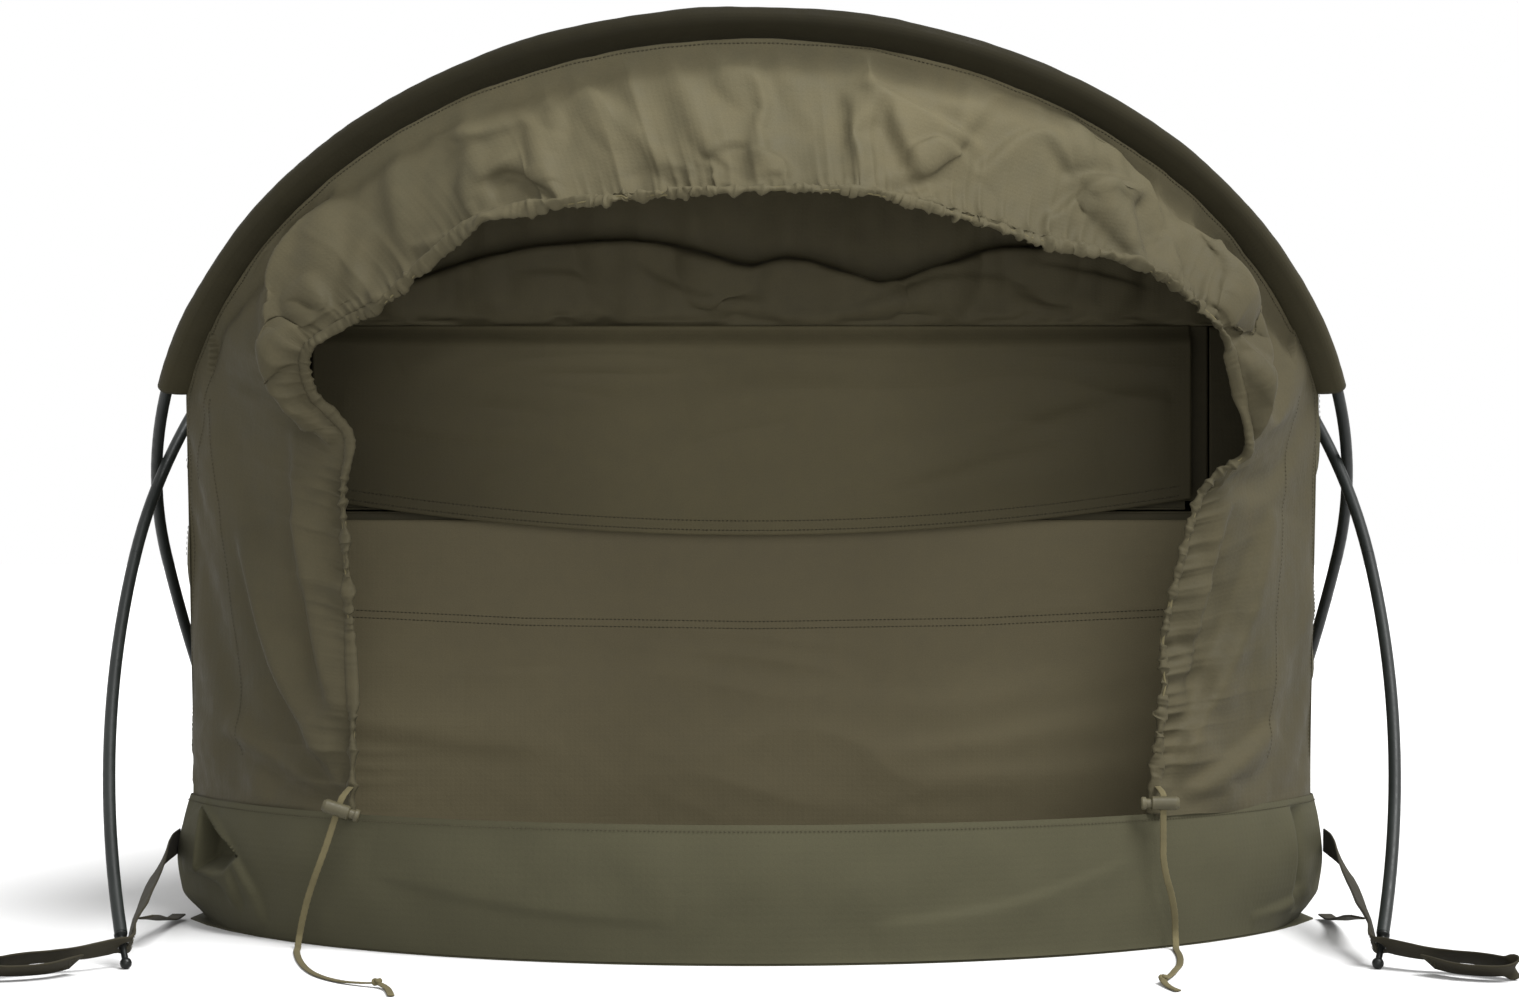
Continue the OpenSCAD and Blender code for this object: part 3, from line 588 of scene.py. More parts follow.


# Painted shade: the hood's colour darkens from 0.65 m down to 0.50 m.
HOOD = fabric("hood_cloth", (0.088, 0.078, 0.0465), crumple=0.12, shade=0.10, warm=0.03,
              painted_light_by_height=(0.50, 0.65, 0.56, 0.98))
BODY = fabric("body_cloth", (0.058, 0.052, 0.031), crumple=0.15)
TUB = fabric("tub_cloth", (0.049, 0.0460, 0.0275), weave=1100, crumple=0.06, shade=0.06, rough=0.78)
# Painted light and shade: the sleeves are lighter low down and darker towards their tops.
SLEEVE = fabric("sleeve_cloth", (0.0235, 0.0205, 0.0112), crumple=0.06, shade=0.10,
                painted_light_by_height=(0.45, 0.70, 1.35, 0.65))
INNER = fabric("inner_cloth", (0.052, 0.045, 0.026), crumple=0.10)
# A darker copy of the inner cloth: painted shade for the gaps beside the door and behind the flap's ends.
SHADE_CLOTH = fabric("inner_painted_shade_cloth", (0.030, 0.026, 0.015), crumple=0.10)
# Painted shade: the flap darkens towards its ends, where the hood shades it.
FLAP = fabric("flap_cloth", (0.073, 0.063, 0.0355), crumple=0.08, shade=0.08,
              sides=(0.10, 0.34, 1.0, 0.52))
# Painted shade and light: the door darkens towards its top, under the hood, and lightens towards its ends.
DOOR = fabric("door_cloth", (0.112, 0.096, 0.057), crumple=0.10, shade=0.07,
              painted_light_by_height=(0.16, 0.32, 1.0, 0.80), sides=(0.10, 0.32, 0.95, 1.25))
WEB = fabric("webbing", (0.026, 0.023, 0.015), weave=600, crumple=0.0, shade=0.2, rough=0.75)
CORD = fabric("flat_braid", (0.100, 0.086, 0.046), weave=900, crumple=0.0, shade=0.2, rough=0.8)
TAPE = fabric("zip_tape_cloth", (0.040, 0.035, 0.021), weave=900, crumple=0.0)
THREAD = fabric("thread", (0.050, 0.044, 0.027), weave=2400, crumple=0.0, shade=0.1, rough=0.7)
POLE = hard("black_tube", (0.010, 0.012, 0.011), rough=0.42, grain=160, wear=0.3)
TIP = hard("tip_metal", (0.012, 0.013, 0.012), rough=0.38, metal=0.3, wear=0.5)
FERRULE = hard("ferrule_metal", (0.42, 0.42, 0.41), rough=0.35, metal=1.0)
PLASTIC = hard("lock_plastic", (0.058, 0.051, 0.028), rough=0.5, grain=500, wear=0.2)
BUTTON = hard("button_plastic", (0.066, 0.058, 0.033), rough=0.5, grain=500, wear=0.2)
METAL = hard("zip_metal", (0.05, 0.05, 0.045), rough=0.4, metal=0.8)
SPRING = hard("spring_steel", (0.5, 0.5, 0.5), rough=0.3, metal=1.0)
RUBBER = hard("shock_cord", (0.02, 0.02, 0.02), rough=0.8, grain=900)

# ---------------------------------------------------------------- camera
IMAGE_W = 1519
SENSOR_MM = 36
LENS_PX = 3432
EYE_AWAY, EYE_HEIGHT = 2.600, 0.323
eye = bpy.data.cameras.new("photo_view")
eye.sensor_width = SENSOR_MM
eye.lens = LENS_PX * SENSOR_MM / IMAGE_W
eye.shift_x = 0.005
eye.shift_y = 0.0263
camera = new_object("photo_camera", eye)
camera.location = (0, FRONT - EYE_AWAY, EYE_HEIGHT)
camera.rotation_euler = (math.pi / 2, 0, 0)
scene.camera = camera

# ---------------------------------------------------------------- free cords and their knots
CORD_W = 0.0052
CORD_T = 0.0015
TAIL_LEFT = placed([
    (-0.3163, 0.110, 0.1284), (-0.3168, 0.099, 0.1272), (-0.3186, 0.090, 0.1246), (-0.3215, 0.086, 0.1197),
    (-0.324, 0.086, 0.112), (-0.3271, 0.086, 0.1025), (-0.3302, 0.086, 0.093), (-0.3333, 0.086, 0.0835),
    (-0.338, 0.088, 0.071), (-0.344, 0.094, 0.056), (-0.350, 0.103, 0.040), (-0.355, 0.113, 0.024),
    (-0.358, 0.119, 0.012), (-0.359, 0.116, 0.004), (-0.358, 0.106, 0.0016), (-0.356, 0.084, 0.0014),
    (-0.352, 0.058, 0.0014), (-0.347, 0.030, 0.0014), (-0.341, 0.002, 0.0014), (-0.334, -0.026, 0.0014),
    (-0.325, -0.054, 0.0014), (-0.313, -0.080, 0.0014), (-0.298, -0.102, 0.0016), (-0.282, -0.117, 0.0025),
    (-0.270, -0.126, 0.0034), (-0.262, -0.140, 0.002), (-0.258, -0.158, 0.0014), (-0.255, -0.176, 0.0014)])
TAIL_RIGHT = placed([
    (0.3199, 0.1105, 0.1284), (0.3202, 0.099, 0.1276), (0.321, 0.0895, 0.126), (0.322, 0.086, 0.123),
    (0.322, 0.086, 0.117), (0.322, 0.086, 0.106), (0.322, 0.086, 0.095), (0.322, 0.086, 0.084),
    (0.3221, 0.0861, 0.074), (0.3246, 0.0882, 0.060), (0.3295, 0.0948, 0.044), (0.333, 0.103, 0.028),
    (0.334, 0.108, 0.014), (0.334, 0.104, 0.005), (0.333, 0.094, 0.0018), (0.332, 0.072, 0.0014),
    (0.330, 0.046, 0.0014), (0.327, 0.020, 0.0014), (0.323, -0.006, 0.0014), (0.317, -0.032, 0.0014),
    (0.311, -0.058, 0.0014), (0.304, -0.084, 0.002), (0.299, -0.104, 0.0034), (0.299, -0.118, 0.0022),
    (0.301, -0.134, 0.0014), (0.304, -0.150, 0.0014)])
KNOT_LEFT = placed((-0.270, -0.126, 0.0044))
KNOT_RIGHT = placed((0.299, -0.104, 0.0044))
TAIL_COUNT = 260       # rings along a tail
BRAID_RIPPLE = 0.00004
KNOT_COUNT, KNOT_SIDES, KNOT_R = 90, 8, 0.0017


def flat_ring(points, width, thick, wide, count=10):
    """Rings of a flat rounded profile along points, its width kept close to `wide`."""
    along = unit(np.gradient(points, axis=0))
    wide = np.broadcast_to(np.asarray(wide, float), points.shape)
    a = unit(wide - (wide * along).sum(1, keepdims=True) * along)
    b = np.cross(along, a)
    t = angles(count)
    c = np.sign(np.cos(t)) * np.abs(np.cos(t)) ** 0.6
    s = np.sign(np.sin(t)) * np.abs(np.sin(t)) ** 0.6
    return (points[:, None] + np.asarray(width).reshape(-1, 1, 1) / 2 * c[None, :, None] * a[:, None]
            + np.asarray(thick).reshape(-1, 1, 1) / 2 * s[None, :, None] * b[:, None])


def cord_tail(name, replaced, route, knot_at):
    path = spline(route, TAIL_COUNT)
    rings = flat_ring(path, CORD_W, CORD_T, (1, 0.01, 0.02), 12)
    herring = BRAID_RIPPLE * np.sin(np.arange(TAIL_COUNT) * 1.9)[:, None]
    middle = rings.mean(1, keepdims=True)
    rings = middle + (rings - middle) * (1 + herring[..., None] / CORD_T * 2)
    tail = tube_object(name, rings, CORD)
    knot = overhand(name.replace("tail", "knot"), knot_at, path)
    rides(tail, "shelter", [replaced])
    rides(knot, "shelter", ["cord_knots"])


def overhand(name, centre, path):
    """A small overhand knot: a trefoil of the same flat braid, drawn tight."""
    t = np.linspace(0, 2 * math.pi, KNOT_COUNT, endpoint=False)
    loop = np.stack([np.sin(t) + 2 * np.sin(2 * t), np.cos(t) - 2 * np.cos(2 * t), -np.sin(3 * t)], 1)
    near = np.argmin(np.linalg.norm(path - centre, axis=1))
    away = unit(path[near] - path[max(0, near - 8)])
    side = unit(np.cross(away, [0, 0, 1]))
    frame3 = np.stack([away, side, np.cross(side, away)])
    loop = (loop * np.array([0.00115, 0.00098, 0.00135])) @ frame3 + centre
    along = unit(np.roll(loop, -1, 0) - np.roll(loop, 1, 0))
    out = unit(loop - centre)
    a = unit(np.cross(along, out))
    b = np.cross(along, a)
    s = angles(KNOT_SIDES)
    c, s = np.cos(s)[None, :, None], np.sin(s)[None, :, None]
    rings = loop[:, None] + KNOT_R * (c * a[:, None] + 0.62 * s * b[:, None])
    rings[..., 2] = np.maximum(rings[..., 2], 0.0002)
    faces = grid_faces(KNOT_COUNT + 1, KNOT_SIDES, wrap=True) % (KNOT_COUNT * KNOT_SIDES)
    obj = mesh_object(name, rings, faces, rings.reshape(-1, 3)[:, :2])
    obj.data.materials.append(CORD)
    return obj


cord_tail("left_drawcord_tail", "cord_tail_left", TAIL_LEFT, KNOT_LEFT)
cord_tail("right_drawcord_tail", "cord_tail_right", TAIL_RIGHT, KNOT_RIGHT)

# ---------------------------------------------------------------- cord lock springs
SLOT_X = 0.01245
COIL_FROM, COIL_TO, COIL_R, COIL_WIRE = 0.0018, 0.0072, 0.0026, 0.0005
COIL_TURNS, COIL_COUNT = 4, 193


def lock_coil(word, slot_at, along):
    """The coil behind a lock's button, which shortens as the button is pressed."""
    along = np.array(along)
    level = np.array([0, 1.0, 0])
    turn = np.linspace(0, COIL_TURNS * 2 * math.pi, COIL_COUNT)
    at = placed(slot_at) - SLOT_X * along
    middle = (at + np.linspace(COIL_FROM, COIL_TO, COIL_COUNT)[:, None] * along
              + COIL_R * (np.cos(turn)[:, None] * level + np.sin(turn)[:, None] * np.cross(along, level)))
    obj = tube_object("cord_lock_coil_" + word, flat_ring(middle, COIL_WIRE, COIL_WIRE, along, 8), SPRING)
    rides(obj, word + "_cord_lock", ["cord_lock_spring_" + word])
    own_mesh(obj)


lock_coil("left", (-0.324, 0.086, 0.112), (0.95106, 0, -0.30902))
lock_coil("right", (0.322, 0.086, 0.117), (-1.0, 0, 0))

# ---------------------------------------------------------------- hood
HEM = placed([
    (-0.316, 0.107, 0.108), (-0.316, 0.118, 0.170), (-0.320, 0.128, 0.240), (-0.324, 0.134, 0.310),
    (-0.326, 0.136, 0.360), (-0.321, 0.132, 0.402), (-0.332, 0.130, 0.420), (-0.350, 0.122, 0.440),
    (-0.352, 0.105, 0.472), (-0.320, 0.095, 0.494), (-0.287, 0.080, 0.510), (-0.242, 0.060, 0.548),
    (-0.201, 0.040, 0.573), (-0.116, 0.010, 0.582), (0, -0.020, 0.587), (0.074, -0.015, 0.587),
    (0.120, 0, 0.580), (0.190, 0.025, 0.562), (0.229, 0.040, 0.552), (0.277, 0.055, 0.544),
    (0.317, 0.070, 0.529), (0.350, 0.085, 0.507), (0.372, 0.100, 0.484), (0.382, 0.115, 0.457),
    (0.396, 0.130, 0.399), (0.376, 0.130, 0.379), (0.356, 0.130, 0.355), (0.336, 0.130, 0.283),
    (0.327, 0.128, 0.243), (0.328, 0.124, 0.212), (0.323, 0.118, 0.165), (0.318, 0.107, 0.108)])
HOOD_BULGE = 0.016
HOOD_COLS, HOOD_ROWS = 301, 27
HEM_COUNT, HEM_SIDES = 1500, 14     # rings along the hem's casing, and points round each
HEM_CORD_W = 0.0036
AHEAD = np.array([0, -1.0, 0.3])


def puckers(s, d):
    """Gathers along the hem, s metres along it and d metres from it: fine ones at the hem that
    merge into fewer, longer ones further away."""
    line = np.stack([s, 0 * s, 0 * s], -1)
    cluster = np.clip(0.65 + 0.5 * Waves(9, 0.16)(line), 0.30, 1)
    total = 0
    for seed, pitch, height, reach in ((3, 0.0085, 0.0021, 0.012), (4, 0.0165, 0.0033, 0.026),
                                       (5, 0.041, 0.0034, 0.060)):
        wander = Waves(seed, pitch * 5)(line) * pitch * 0.5
        strength = np.clip(0.6 + 0.4 * Waves(seed + 10, pitch * 5)(line), 0, 1) * cluster
        ridge = 1 - 2 * np.abs(np.sin(math.pi * (s + wander) / pitch)) ** 0.7
        total = total + height * strength * ridge * np.exp(-d / reach) * smooth(d / 0.006 + 0.4)
    return total


# Folds: points (x, height), then height, wide, drop, tight and lap in metres.
LOBES = [
    ([(-0.335, 0.605), (-0.364, 0.565), (-0.376, 0.520), (-0.376, 0.475), (-0.360, 0.430), (-0.335, 0.398)],
     0.026, 0.040, 0.014, 0.022, 0.009),
    ([(0.372, 0.370), (0.397, 0.400), (0.405, 0.450), (0.400, 0.490), (0.386, 0.530), (0.366, 0.560),
      (0.340, 0.582)], 0.022, 0.036, 0.012, 0.022, 0.005),
    ([(0.330, 0.560), (0.315, 0.604), (0.288, 0.632), (0.255, 0.654), (0.222, 0.670), (0.180, 0.676)],
     0.014, 0.034, 0.007, 0.018, 0.002)]
FOLDS = [
    ([(-0.215, 0.600), (-0.188, 0.610), (-0.163, 0.598), (-0.142, 0.576)], 0.011, 0.016, 0.006, 0.008, 0.003),
    ([(-0.198, 0.576), (-0.202, 0.600), (-0.178, 0.622)], 0.008, 0.014, 0.005, 0.008, 0.002),
    ([(-0.078, 0.608), (-0.092, 0.640), (-0.126, 0.684)], 0.010, 0.040, 0.005, 0.018, 0.002),
    ([(-0.258, 0.640), (-0.215, 0.636), (-0.172, 0.648)], 0.007, 0.030, 0.003, 0.020, 0.001),
    ([(-0.328, 0.488), (-0.336, 0.515), (-0.352, 0.536)], 0.009, 0.018, 0.006, 0.009, 0.002),
    ([(-0.296, 0.500), (-0.308, 0.530), (-0.296, 0.570)], 0.007, 0.024, 0.004, 0.014, 0.001),
    ([(-0.048, 0.598), (-0.037, 0.612), (-0.014, 0.624), (0.010, 0.614)], 0.007, 0.014, 0.004, 0.007, 0.001),
    ([(0.092, 0.676), (0.104, 0.640), (0.127, 0.594)], 0.013, 0.022, 0.006, 0.010, 0.002),
    ([(0.180, 0.628), (0.134, 0.652), (0.092, 0.674)], 0.010, 0.026, 0.006, 0.010, 0.002),
    ([(0.038, 0.600), (0.012, 0.618), (-0.016, 0.620)], 0.006, 0.014, 0.004, 0.008, 0.001),
    ([(0.176, 0.608), (0.144, 0.626), (0.112, 0.614)], 0.008, 0.016, 0.005, 0.008, 0.002),
    ([(0.226, 0.646), (0.236, 0.628), (0.252, 0.604)], 0.009, 0.020, 0.005, 0.010, 0.001),
    ([(0.314, 0.600), (0.276, 0.608), (0.240, 0.606)], 0.008, 0.022, 0.006, 0.012, 0.001),
    ([(0.282, 0.608), (0.254, 0.592), (0.218, 0.562)], 0.009, 0.016, 0.005, 0.008, 0.002),
    ([(0.230, 0.648), (0.202, 0.634), (0.172, 0.604)], 0.008, 0.018, 0.005, 0.009, 0.002),
    ([(0.276, 0.594), (0.302, 0.590), (0.312, 0.610)], 0.008, 0.014, 0.005, 0.008, 0.002),
    ([(0.350, 0.500), (0.338, 0.532), (0.333, 0.566)], 0.011, 0.016, 0.006, 0.008, 0.002),
    ([(0.374, 0.462), (0.374, 0.498), (0.388, 0.522)], 0.009, 0.014, 0.005, 0.008, 0.002),
    ([(-0.425, 0.330), (-0.395, 0.235), (-0.352, 0.160), (-0.322, 0.122)], 0.017, 0.034, 0.006, 0.022, 0.0),
    ([(-0.372, 0.415), (-0.368, 0.330), (-0.350, 0.250), (-0.330, 0.180)], 0.014, 0.024, 0.006, 0.016, 0.0),
    ([(-0.440, 0.165), (-0.385, 0.140), (-0.332, 0.118)], 0.010, 0.024, 0.004, 0.014, 0.0),
    ([(0.425, 0.350), (0.392, 0.260), (0.352, 0.180), (0.326, 0.132)], 0.016, 0.032, 0.006, 0.020, 0.0),
    ([(0.348, 0.205), (0.364, 0.285), (0.386, 0.355)], 0.014, 0.022, 0.006, 0.014, 0.001),
    ([(0.430, 0.175), (0.380, 0.142), (0.332, 0.120)], 0.010, 0.024, 0.004, 0.014, 0.0)]


def make_hood():
    q = np.linspace(0, 1, HOOD_COLS)[:, None] * np.ones((1, HOOD_ROWS))
    w = np.ones((HOOD_COLS, 1)) * (1 - (1 - np.linspace(0, 1, HOOD_ROWS)) ** 1.3)[None, :]
    s = 2 * q - 1
    top = edge(-1, s * EDGE_HALF, -0.002)
    hem_line = spline(HEM, HOOD_COLS)
    hem = hem_line[:, None] * np.ones((1, HOOD_ROWS, 1))
    out = unit(lerp(np.array([0, -0.86, 0.5]), np.stack([np.sign(s) * 0.8, -0.6 + 0 * s, 0 * s], -1),
                    np.abs(s)[..., None]))
    belly = HOOD_BULGE * 4 * w * (1 - w)
    grid = lerp(top, hem, w[..., None]) + belly[..., None] * out
    across = np.minimum(np.abs(grid[..., 0]), HEAD_HALF)
    bow = FRONT + FRONT_R - np.sqrt(FRONT_R ** 2 - across ** 2) + 0.002
    pull = np.exp(-np.maximum(grid[..., 2] - BASE_Z, 0) / 0.07)
    grid[..., 1] += np.minimum(bow - grid[..., 1], 0) * pull
    grid[..., 2] -= 0.004 * np.exp(-np.maximum(grid[..., 2] - BASE_Z, 0) / 0.01)
    loose = 0.15 + 0.85 * np.exp(-(np.abs(s) / 0.62) ** 6)
    loose = loose * (0.22 + 0.6 * smooth((s + 0.02) / 0.25) + 0.18 * np.exp(-((s + 0.45) / 0.12) ** 2))
    grid = draped(grid, border(HOOD_COLS, HOOD_ROWS), 0.055, weight=0.25, frames=30, stiff=0.7, seed=2,
                  loose=loose)
    return finer(grid, 4, 3)


def finish_hood(grid):
    m, n = grid.shape[:2]
    hem = grid[:, -1]
    run = lengths(hem)
    s = run[:, None] * np.ones((1, n))
    d = np.linalg.norm(grid - hem[:, None], axis=2)
    e = np.linalg.norm(grid - grid[:, :1], axis=2)
    lobed = creased(grid, LOBES, AHEAD)
    grid = grid + (lobed - grid) * (smooth(d / 0.014) * smooth(e / 0.02))[..., None]
    folded = creased(grid, FOLDS, AHEAD, 0.0045)
    grid = grid + (folded - grid) * (smooth(d / 0.032) * smooth(e / 0.026))[..., None]
    grid = softened(grid, 8, 1)
    normal = facing_normals(grid, AHEAD)
    dip = -0.006 * np.exp(-((e - 0.018) / 0.012) ** 2) * (np.abs(grid[..., 0]) < 0.45)
    grid = grid + normal * (puckers(s, d) + dip)[..., None]
    cloth_piece("hood", grid, HOOD, ["hood_left_panel", "hood_top_panel", "hood_right_panel"])
    return grid


def make_casing(grid):
    hem = resample(grid[:, -1], HEM_COUNT)
    core = resample(spline(HEM, HEM_COUNT), HEM_COUNT)
    up = unit(resample_like(grid_normals(grid)[:, -2], HEM_COUNT))
    if (up * AHEAD).sum() < 0:
        up = -up
    along = unit(np.gradient(hem, axis=0))
    up = unit(up - (up * along).sum(1, keepdims=True) * along)
    inward = np.cross(along, up)
    if (resample_like(grid[:, -4] - grid[:, -1], HEM_COUNT) * inward).sum() > 0:
        inward = -inward
    run = lengths(hem)
    t = angles(HEM_SIDES)
    fine = puckers(run, 0 * run + 0.004)
    part = run / run[-1]
    broad = 0.0058 + 0.0012 * np.sin(2 * math.pi * part * 3 + 1) * smooth(part * 3)
    centre = lerp(core, hem, 0.4) + inward * 0.0012
    rings = []
    for angle in t:
        c, s = math.cos(angle), math.sin(angle)
        r_in = broad + 0.45 * fine * (1 + 0.5 * c)
        r_up = 0.0036 + 0.6 * fine
        sideways = inward * (np.sign(c) * abs(c) ** 0.8 * r_in)[:, None]
        rings.append(centre + sideways + up * (s * r_up)[:, None])
    rings = np.stack(rings, 1)
    obj = tube_object("hood_hem_casing", rings, HOOD)
    rides(obj, "shelter", ["hood_hem_channel"])
    inner = centre[4:-4:4]
    cord = tube_object("hood_drawcord_braid", flat_ring(inner, HEM_CORD_W, CORD_T, up[4:-4:4], 10), CORD)
    rides(cord, "shelter", ["hood_drawcord"])


def resample_like(values, count):
    at = np.linspace(0, len(values) - 1, count)
    return np.stack([np.interp(at, np.arange(len(values)), values[:, k]) for k in range(3)], 1)


hood_grid = finish_hood(make_hood())
make_casing(hood_grid)


# ---------------------------------------------------------------- body behind the hood
def sagged(p, by):
    return p - by[..., None] * unit(p * np.array([1, 0, 1]) - np.array([0, 0, 0.3]))


def lapped(a, x, y):
    """How far a sheet's edge is moved below the sleeve, so that it laps over its neighbour's."""
    below = smooth((np.abs(a) - SLEEVE_HALF + 0.02) / 0.02)
    return np.stack([np.sign(a) * below * x, below * y, 0 * a], -1)


def make_roof():
    cols, rows = 161, 41
    a, w = fractions(cols, rows, -EDGE_HALF, EDGE_HALF)
    grid = lerp(edge(-1, a, 0.002) + lapped(a, -0.001, -0.005), edge(1, a, 0.002), w[..., None])
    over = 1 - smooth((np.abs(a) - SLEEVE_HALF) / 0.05 + 1)
    grid = sagged(grid, ROOF_SAG * 4 * w * (1 - w) * over)
    grid = draped(grid, border(cols, rows), 0.012, weight=0.3, frames=16, stiff=0.8, seed=5)
    grid = finer(grid, 2, 2)
    cloth_piece("roof", grid, BODY, ["roof_panel", "side_wall_left", "side_wall_right"])
    return grid


def foot_arch(a):
    t = np.minimum(np.abs(a) / EDGE_HALF, 0.999) * math.pi / 2
    return placed(np.stack([np.sign(a) * FOOT_HALF * np.sin(t) ** 0.8, 0 * a + FOOT_Y - 0.010,
                            BASE_Z + (FOOT_H - BASE_Z) * np.cos(t) ** 0.8], -1))


def make_canopy():
    cols, rows = 141, 71
    a, u = fractions(cols, rows, -EDGE_HALF, EDGE_HALF)
    inside = smooth((SLEEVE_HALF - np.abs(a)) / 0.04)
    near = edge(1, a, 0.0) + np.array([0, 0.003, 0]) + lapped(a, 0.001, -0.010)
    near = near + (hoop(1, 0, 0, -0.0095) - hoop(1, 0, 0, 0)) * inside[..., None]
    grid = lerp(near, foot_arch(a), u[..., None])
    grid[..., 2] -= RIDGE_SAG * 4 * (u * (1 - u)) * np.cos(math.pi / 2 * np.abs(a) / EDGE_HALF)
    grid = draped(grid, border(cols, rows), 0.008, weight=0.2, frames=14, stiff=1.0, seed=6)
    grid = finer(grid, 2, 2)
    cloth_piece("rear_canopy", grid, BODY, ["rear_canopy_left", "rear_canopy_right"])
    return grid


def foot_rim(b):
    c, s = np.cos(b), np.abs(np.sin(b))
    return np.stack([FOOT_HALF * np.sign(c) * np.abs(c) ** 0.6, FOOT_Y + FOOT_ROUND * s ** 0.6, 0 * b], -1)


def make_foot_end():
    cols, rows = 61, 25
    q, w = fractions(cols, rows, -0.97, 0.97)
    top = foot_arch(q * EDGE_HALF) + np.array([0, 0.002, 0])
    low = placed(foot_rim((90 - 90 * q) * math.pi / 180) + np.array([0, -0.002, BASE_Z]))
    grid = lerp(top, low, w[..., None])
    grid[..., 1] += 0.014 * np.sin(math.pi * w) * (1 - np.abs(q))
    grid = draped(grid, border(cols, rows), 0.01, weight=0.3, frames=12, stiff=0.6, seed=7)
    grid = finer(grid, 2, 2)
    cloth_piece("foot_end", grid, BODY, ["foot_end_panel"])


def sleeve_rings(way):
    """A fabric sleeve around its pole: round where the pole pushes it out, then flat to the seam."""
    d = np.linspace(-SLEEVE_HALF, SLEEVE_HALF, 361)
    count = 20
    t = angles(count)
    c, s = np.cos(t), np.sin(t)
    out = np.where(c > 0, c * 0.0075, -0.0190 * np.abs(c) ** 0.8)
    half = np.where(c > 0, 0.0075 * np.abs(s) ** 0.9, lerp(0.0075, 0.0045, np.abs(c)) * np.abs(s) ** 0.6)
    lift = np.sign(s) * half
    rings = np.stack([hoop(way, d, out[k], lift[k]) for k in range(count)], 1)
    ripple = Waves(31 + way, 0.11)(rings) * 0.0003 + Waves(35 + way, 0.020)(rings) * 0.00008
    middle = rings.mean(1, keepdims=True)
    return middle + (rings - middle) * (1 + ripple[..., None] / 0.009)


def make_sleeve(way, name):
    obj = tube_object(name, sleeve_rings(way), SLEEVE, caps=False)
    thick = obj.modifiers.new("thickness", "SOLIDIFY")
    thick.thickness = 0.0008
    thick.offset = -1
    rides(obj, "shelter", [name.replace("_cloth", "")])


roof_grid = make_roof()
canopy_grid = make_canopy()
make_foot_end()
make_sleeve(-1, "front_pole_sleeve_cloth")
make_sleeve(1, "rear_pole_sleeve_cloth")


# ---------------------------------------------------------------- tub and floor
TUB_TURN = 0.060
TUB_LOW = 0.0018       # the tub's lowest row, so that its cloth rests on the ground


def turned_out(ring):
    along = unit(np.gradient(ring, axis=0))
    return np.stack([along[:, 1], -along[:, 0], 0 * along[:, 0]], 1)


def inside_of(p, corners):
    """How deep each front-view point is inside a convex outline given anticlockwise."""
    depth = np.full(p.shape[:-1], FAR)
    for a, b in zip(corners, corners[1:] + corners[:1]):
        a, b = np.array(a), np.array(b)
        along = unit(b - a)
        depth = np.minimum(depth, (p - a) @ np.array([-along[1], along[0]]))
    return np.maximum(depth, 0)


GUSSET = [(-0.462, 0.101), (-0.466, 0.046), (-0.436, 0.050), (-0.420, 0.064)]
# Folds, as for the hood.
TUB_FOLDS = [
    ([(-0.392, 0.010), (-0.402, 0.036), (-0.424, 0.066), (-0.458, 0.104)], 0.007, 0.022, 0.004, 0.008, 0.003),
    ([(-0.416, 0.020), (-0.420, 0.040), (-0.428, 0.056)], 0.003, 0.008, 0.006, 0.006, 0.001),
    ([(-0.480, 0.044), (-0.455, 0.046), (-0.432, 0.038), (-0.424, 0.024)], 0.006, 0.016, 0.002, 0.010, 0.001),
    ([(0.449, 0.014), (0.451, 0.050), (0.449, 0.102)], 0.006, 0.018, 0.021, 0.010, 0.003),
    ([(0.462, 0.098), (0.460, 0.060), (0.463, 0.022)], 0.003, 0.010, 0.004, 0.005, 0.0),
    ([(0.470, 0.036), (0.440, 0.024), (0.405, 0.018)], 0.004, 0.016, 0.002, 0.010, 0.0),
    ([(-0.300, 0.060), (-0.180, 0.040), (-0.060, 0.030)], 0.003, 0.040, 0.0, 0.030, 0.0),
    ([(0.300, 0.075), (0.200, 0.045), (0.090, 0.030)], 0.003, 0.040, 0.0, 0.030, 0.0)]


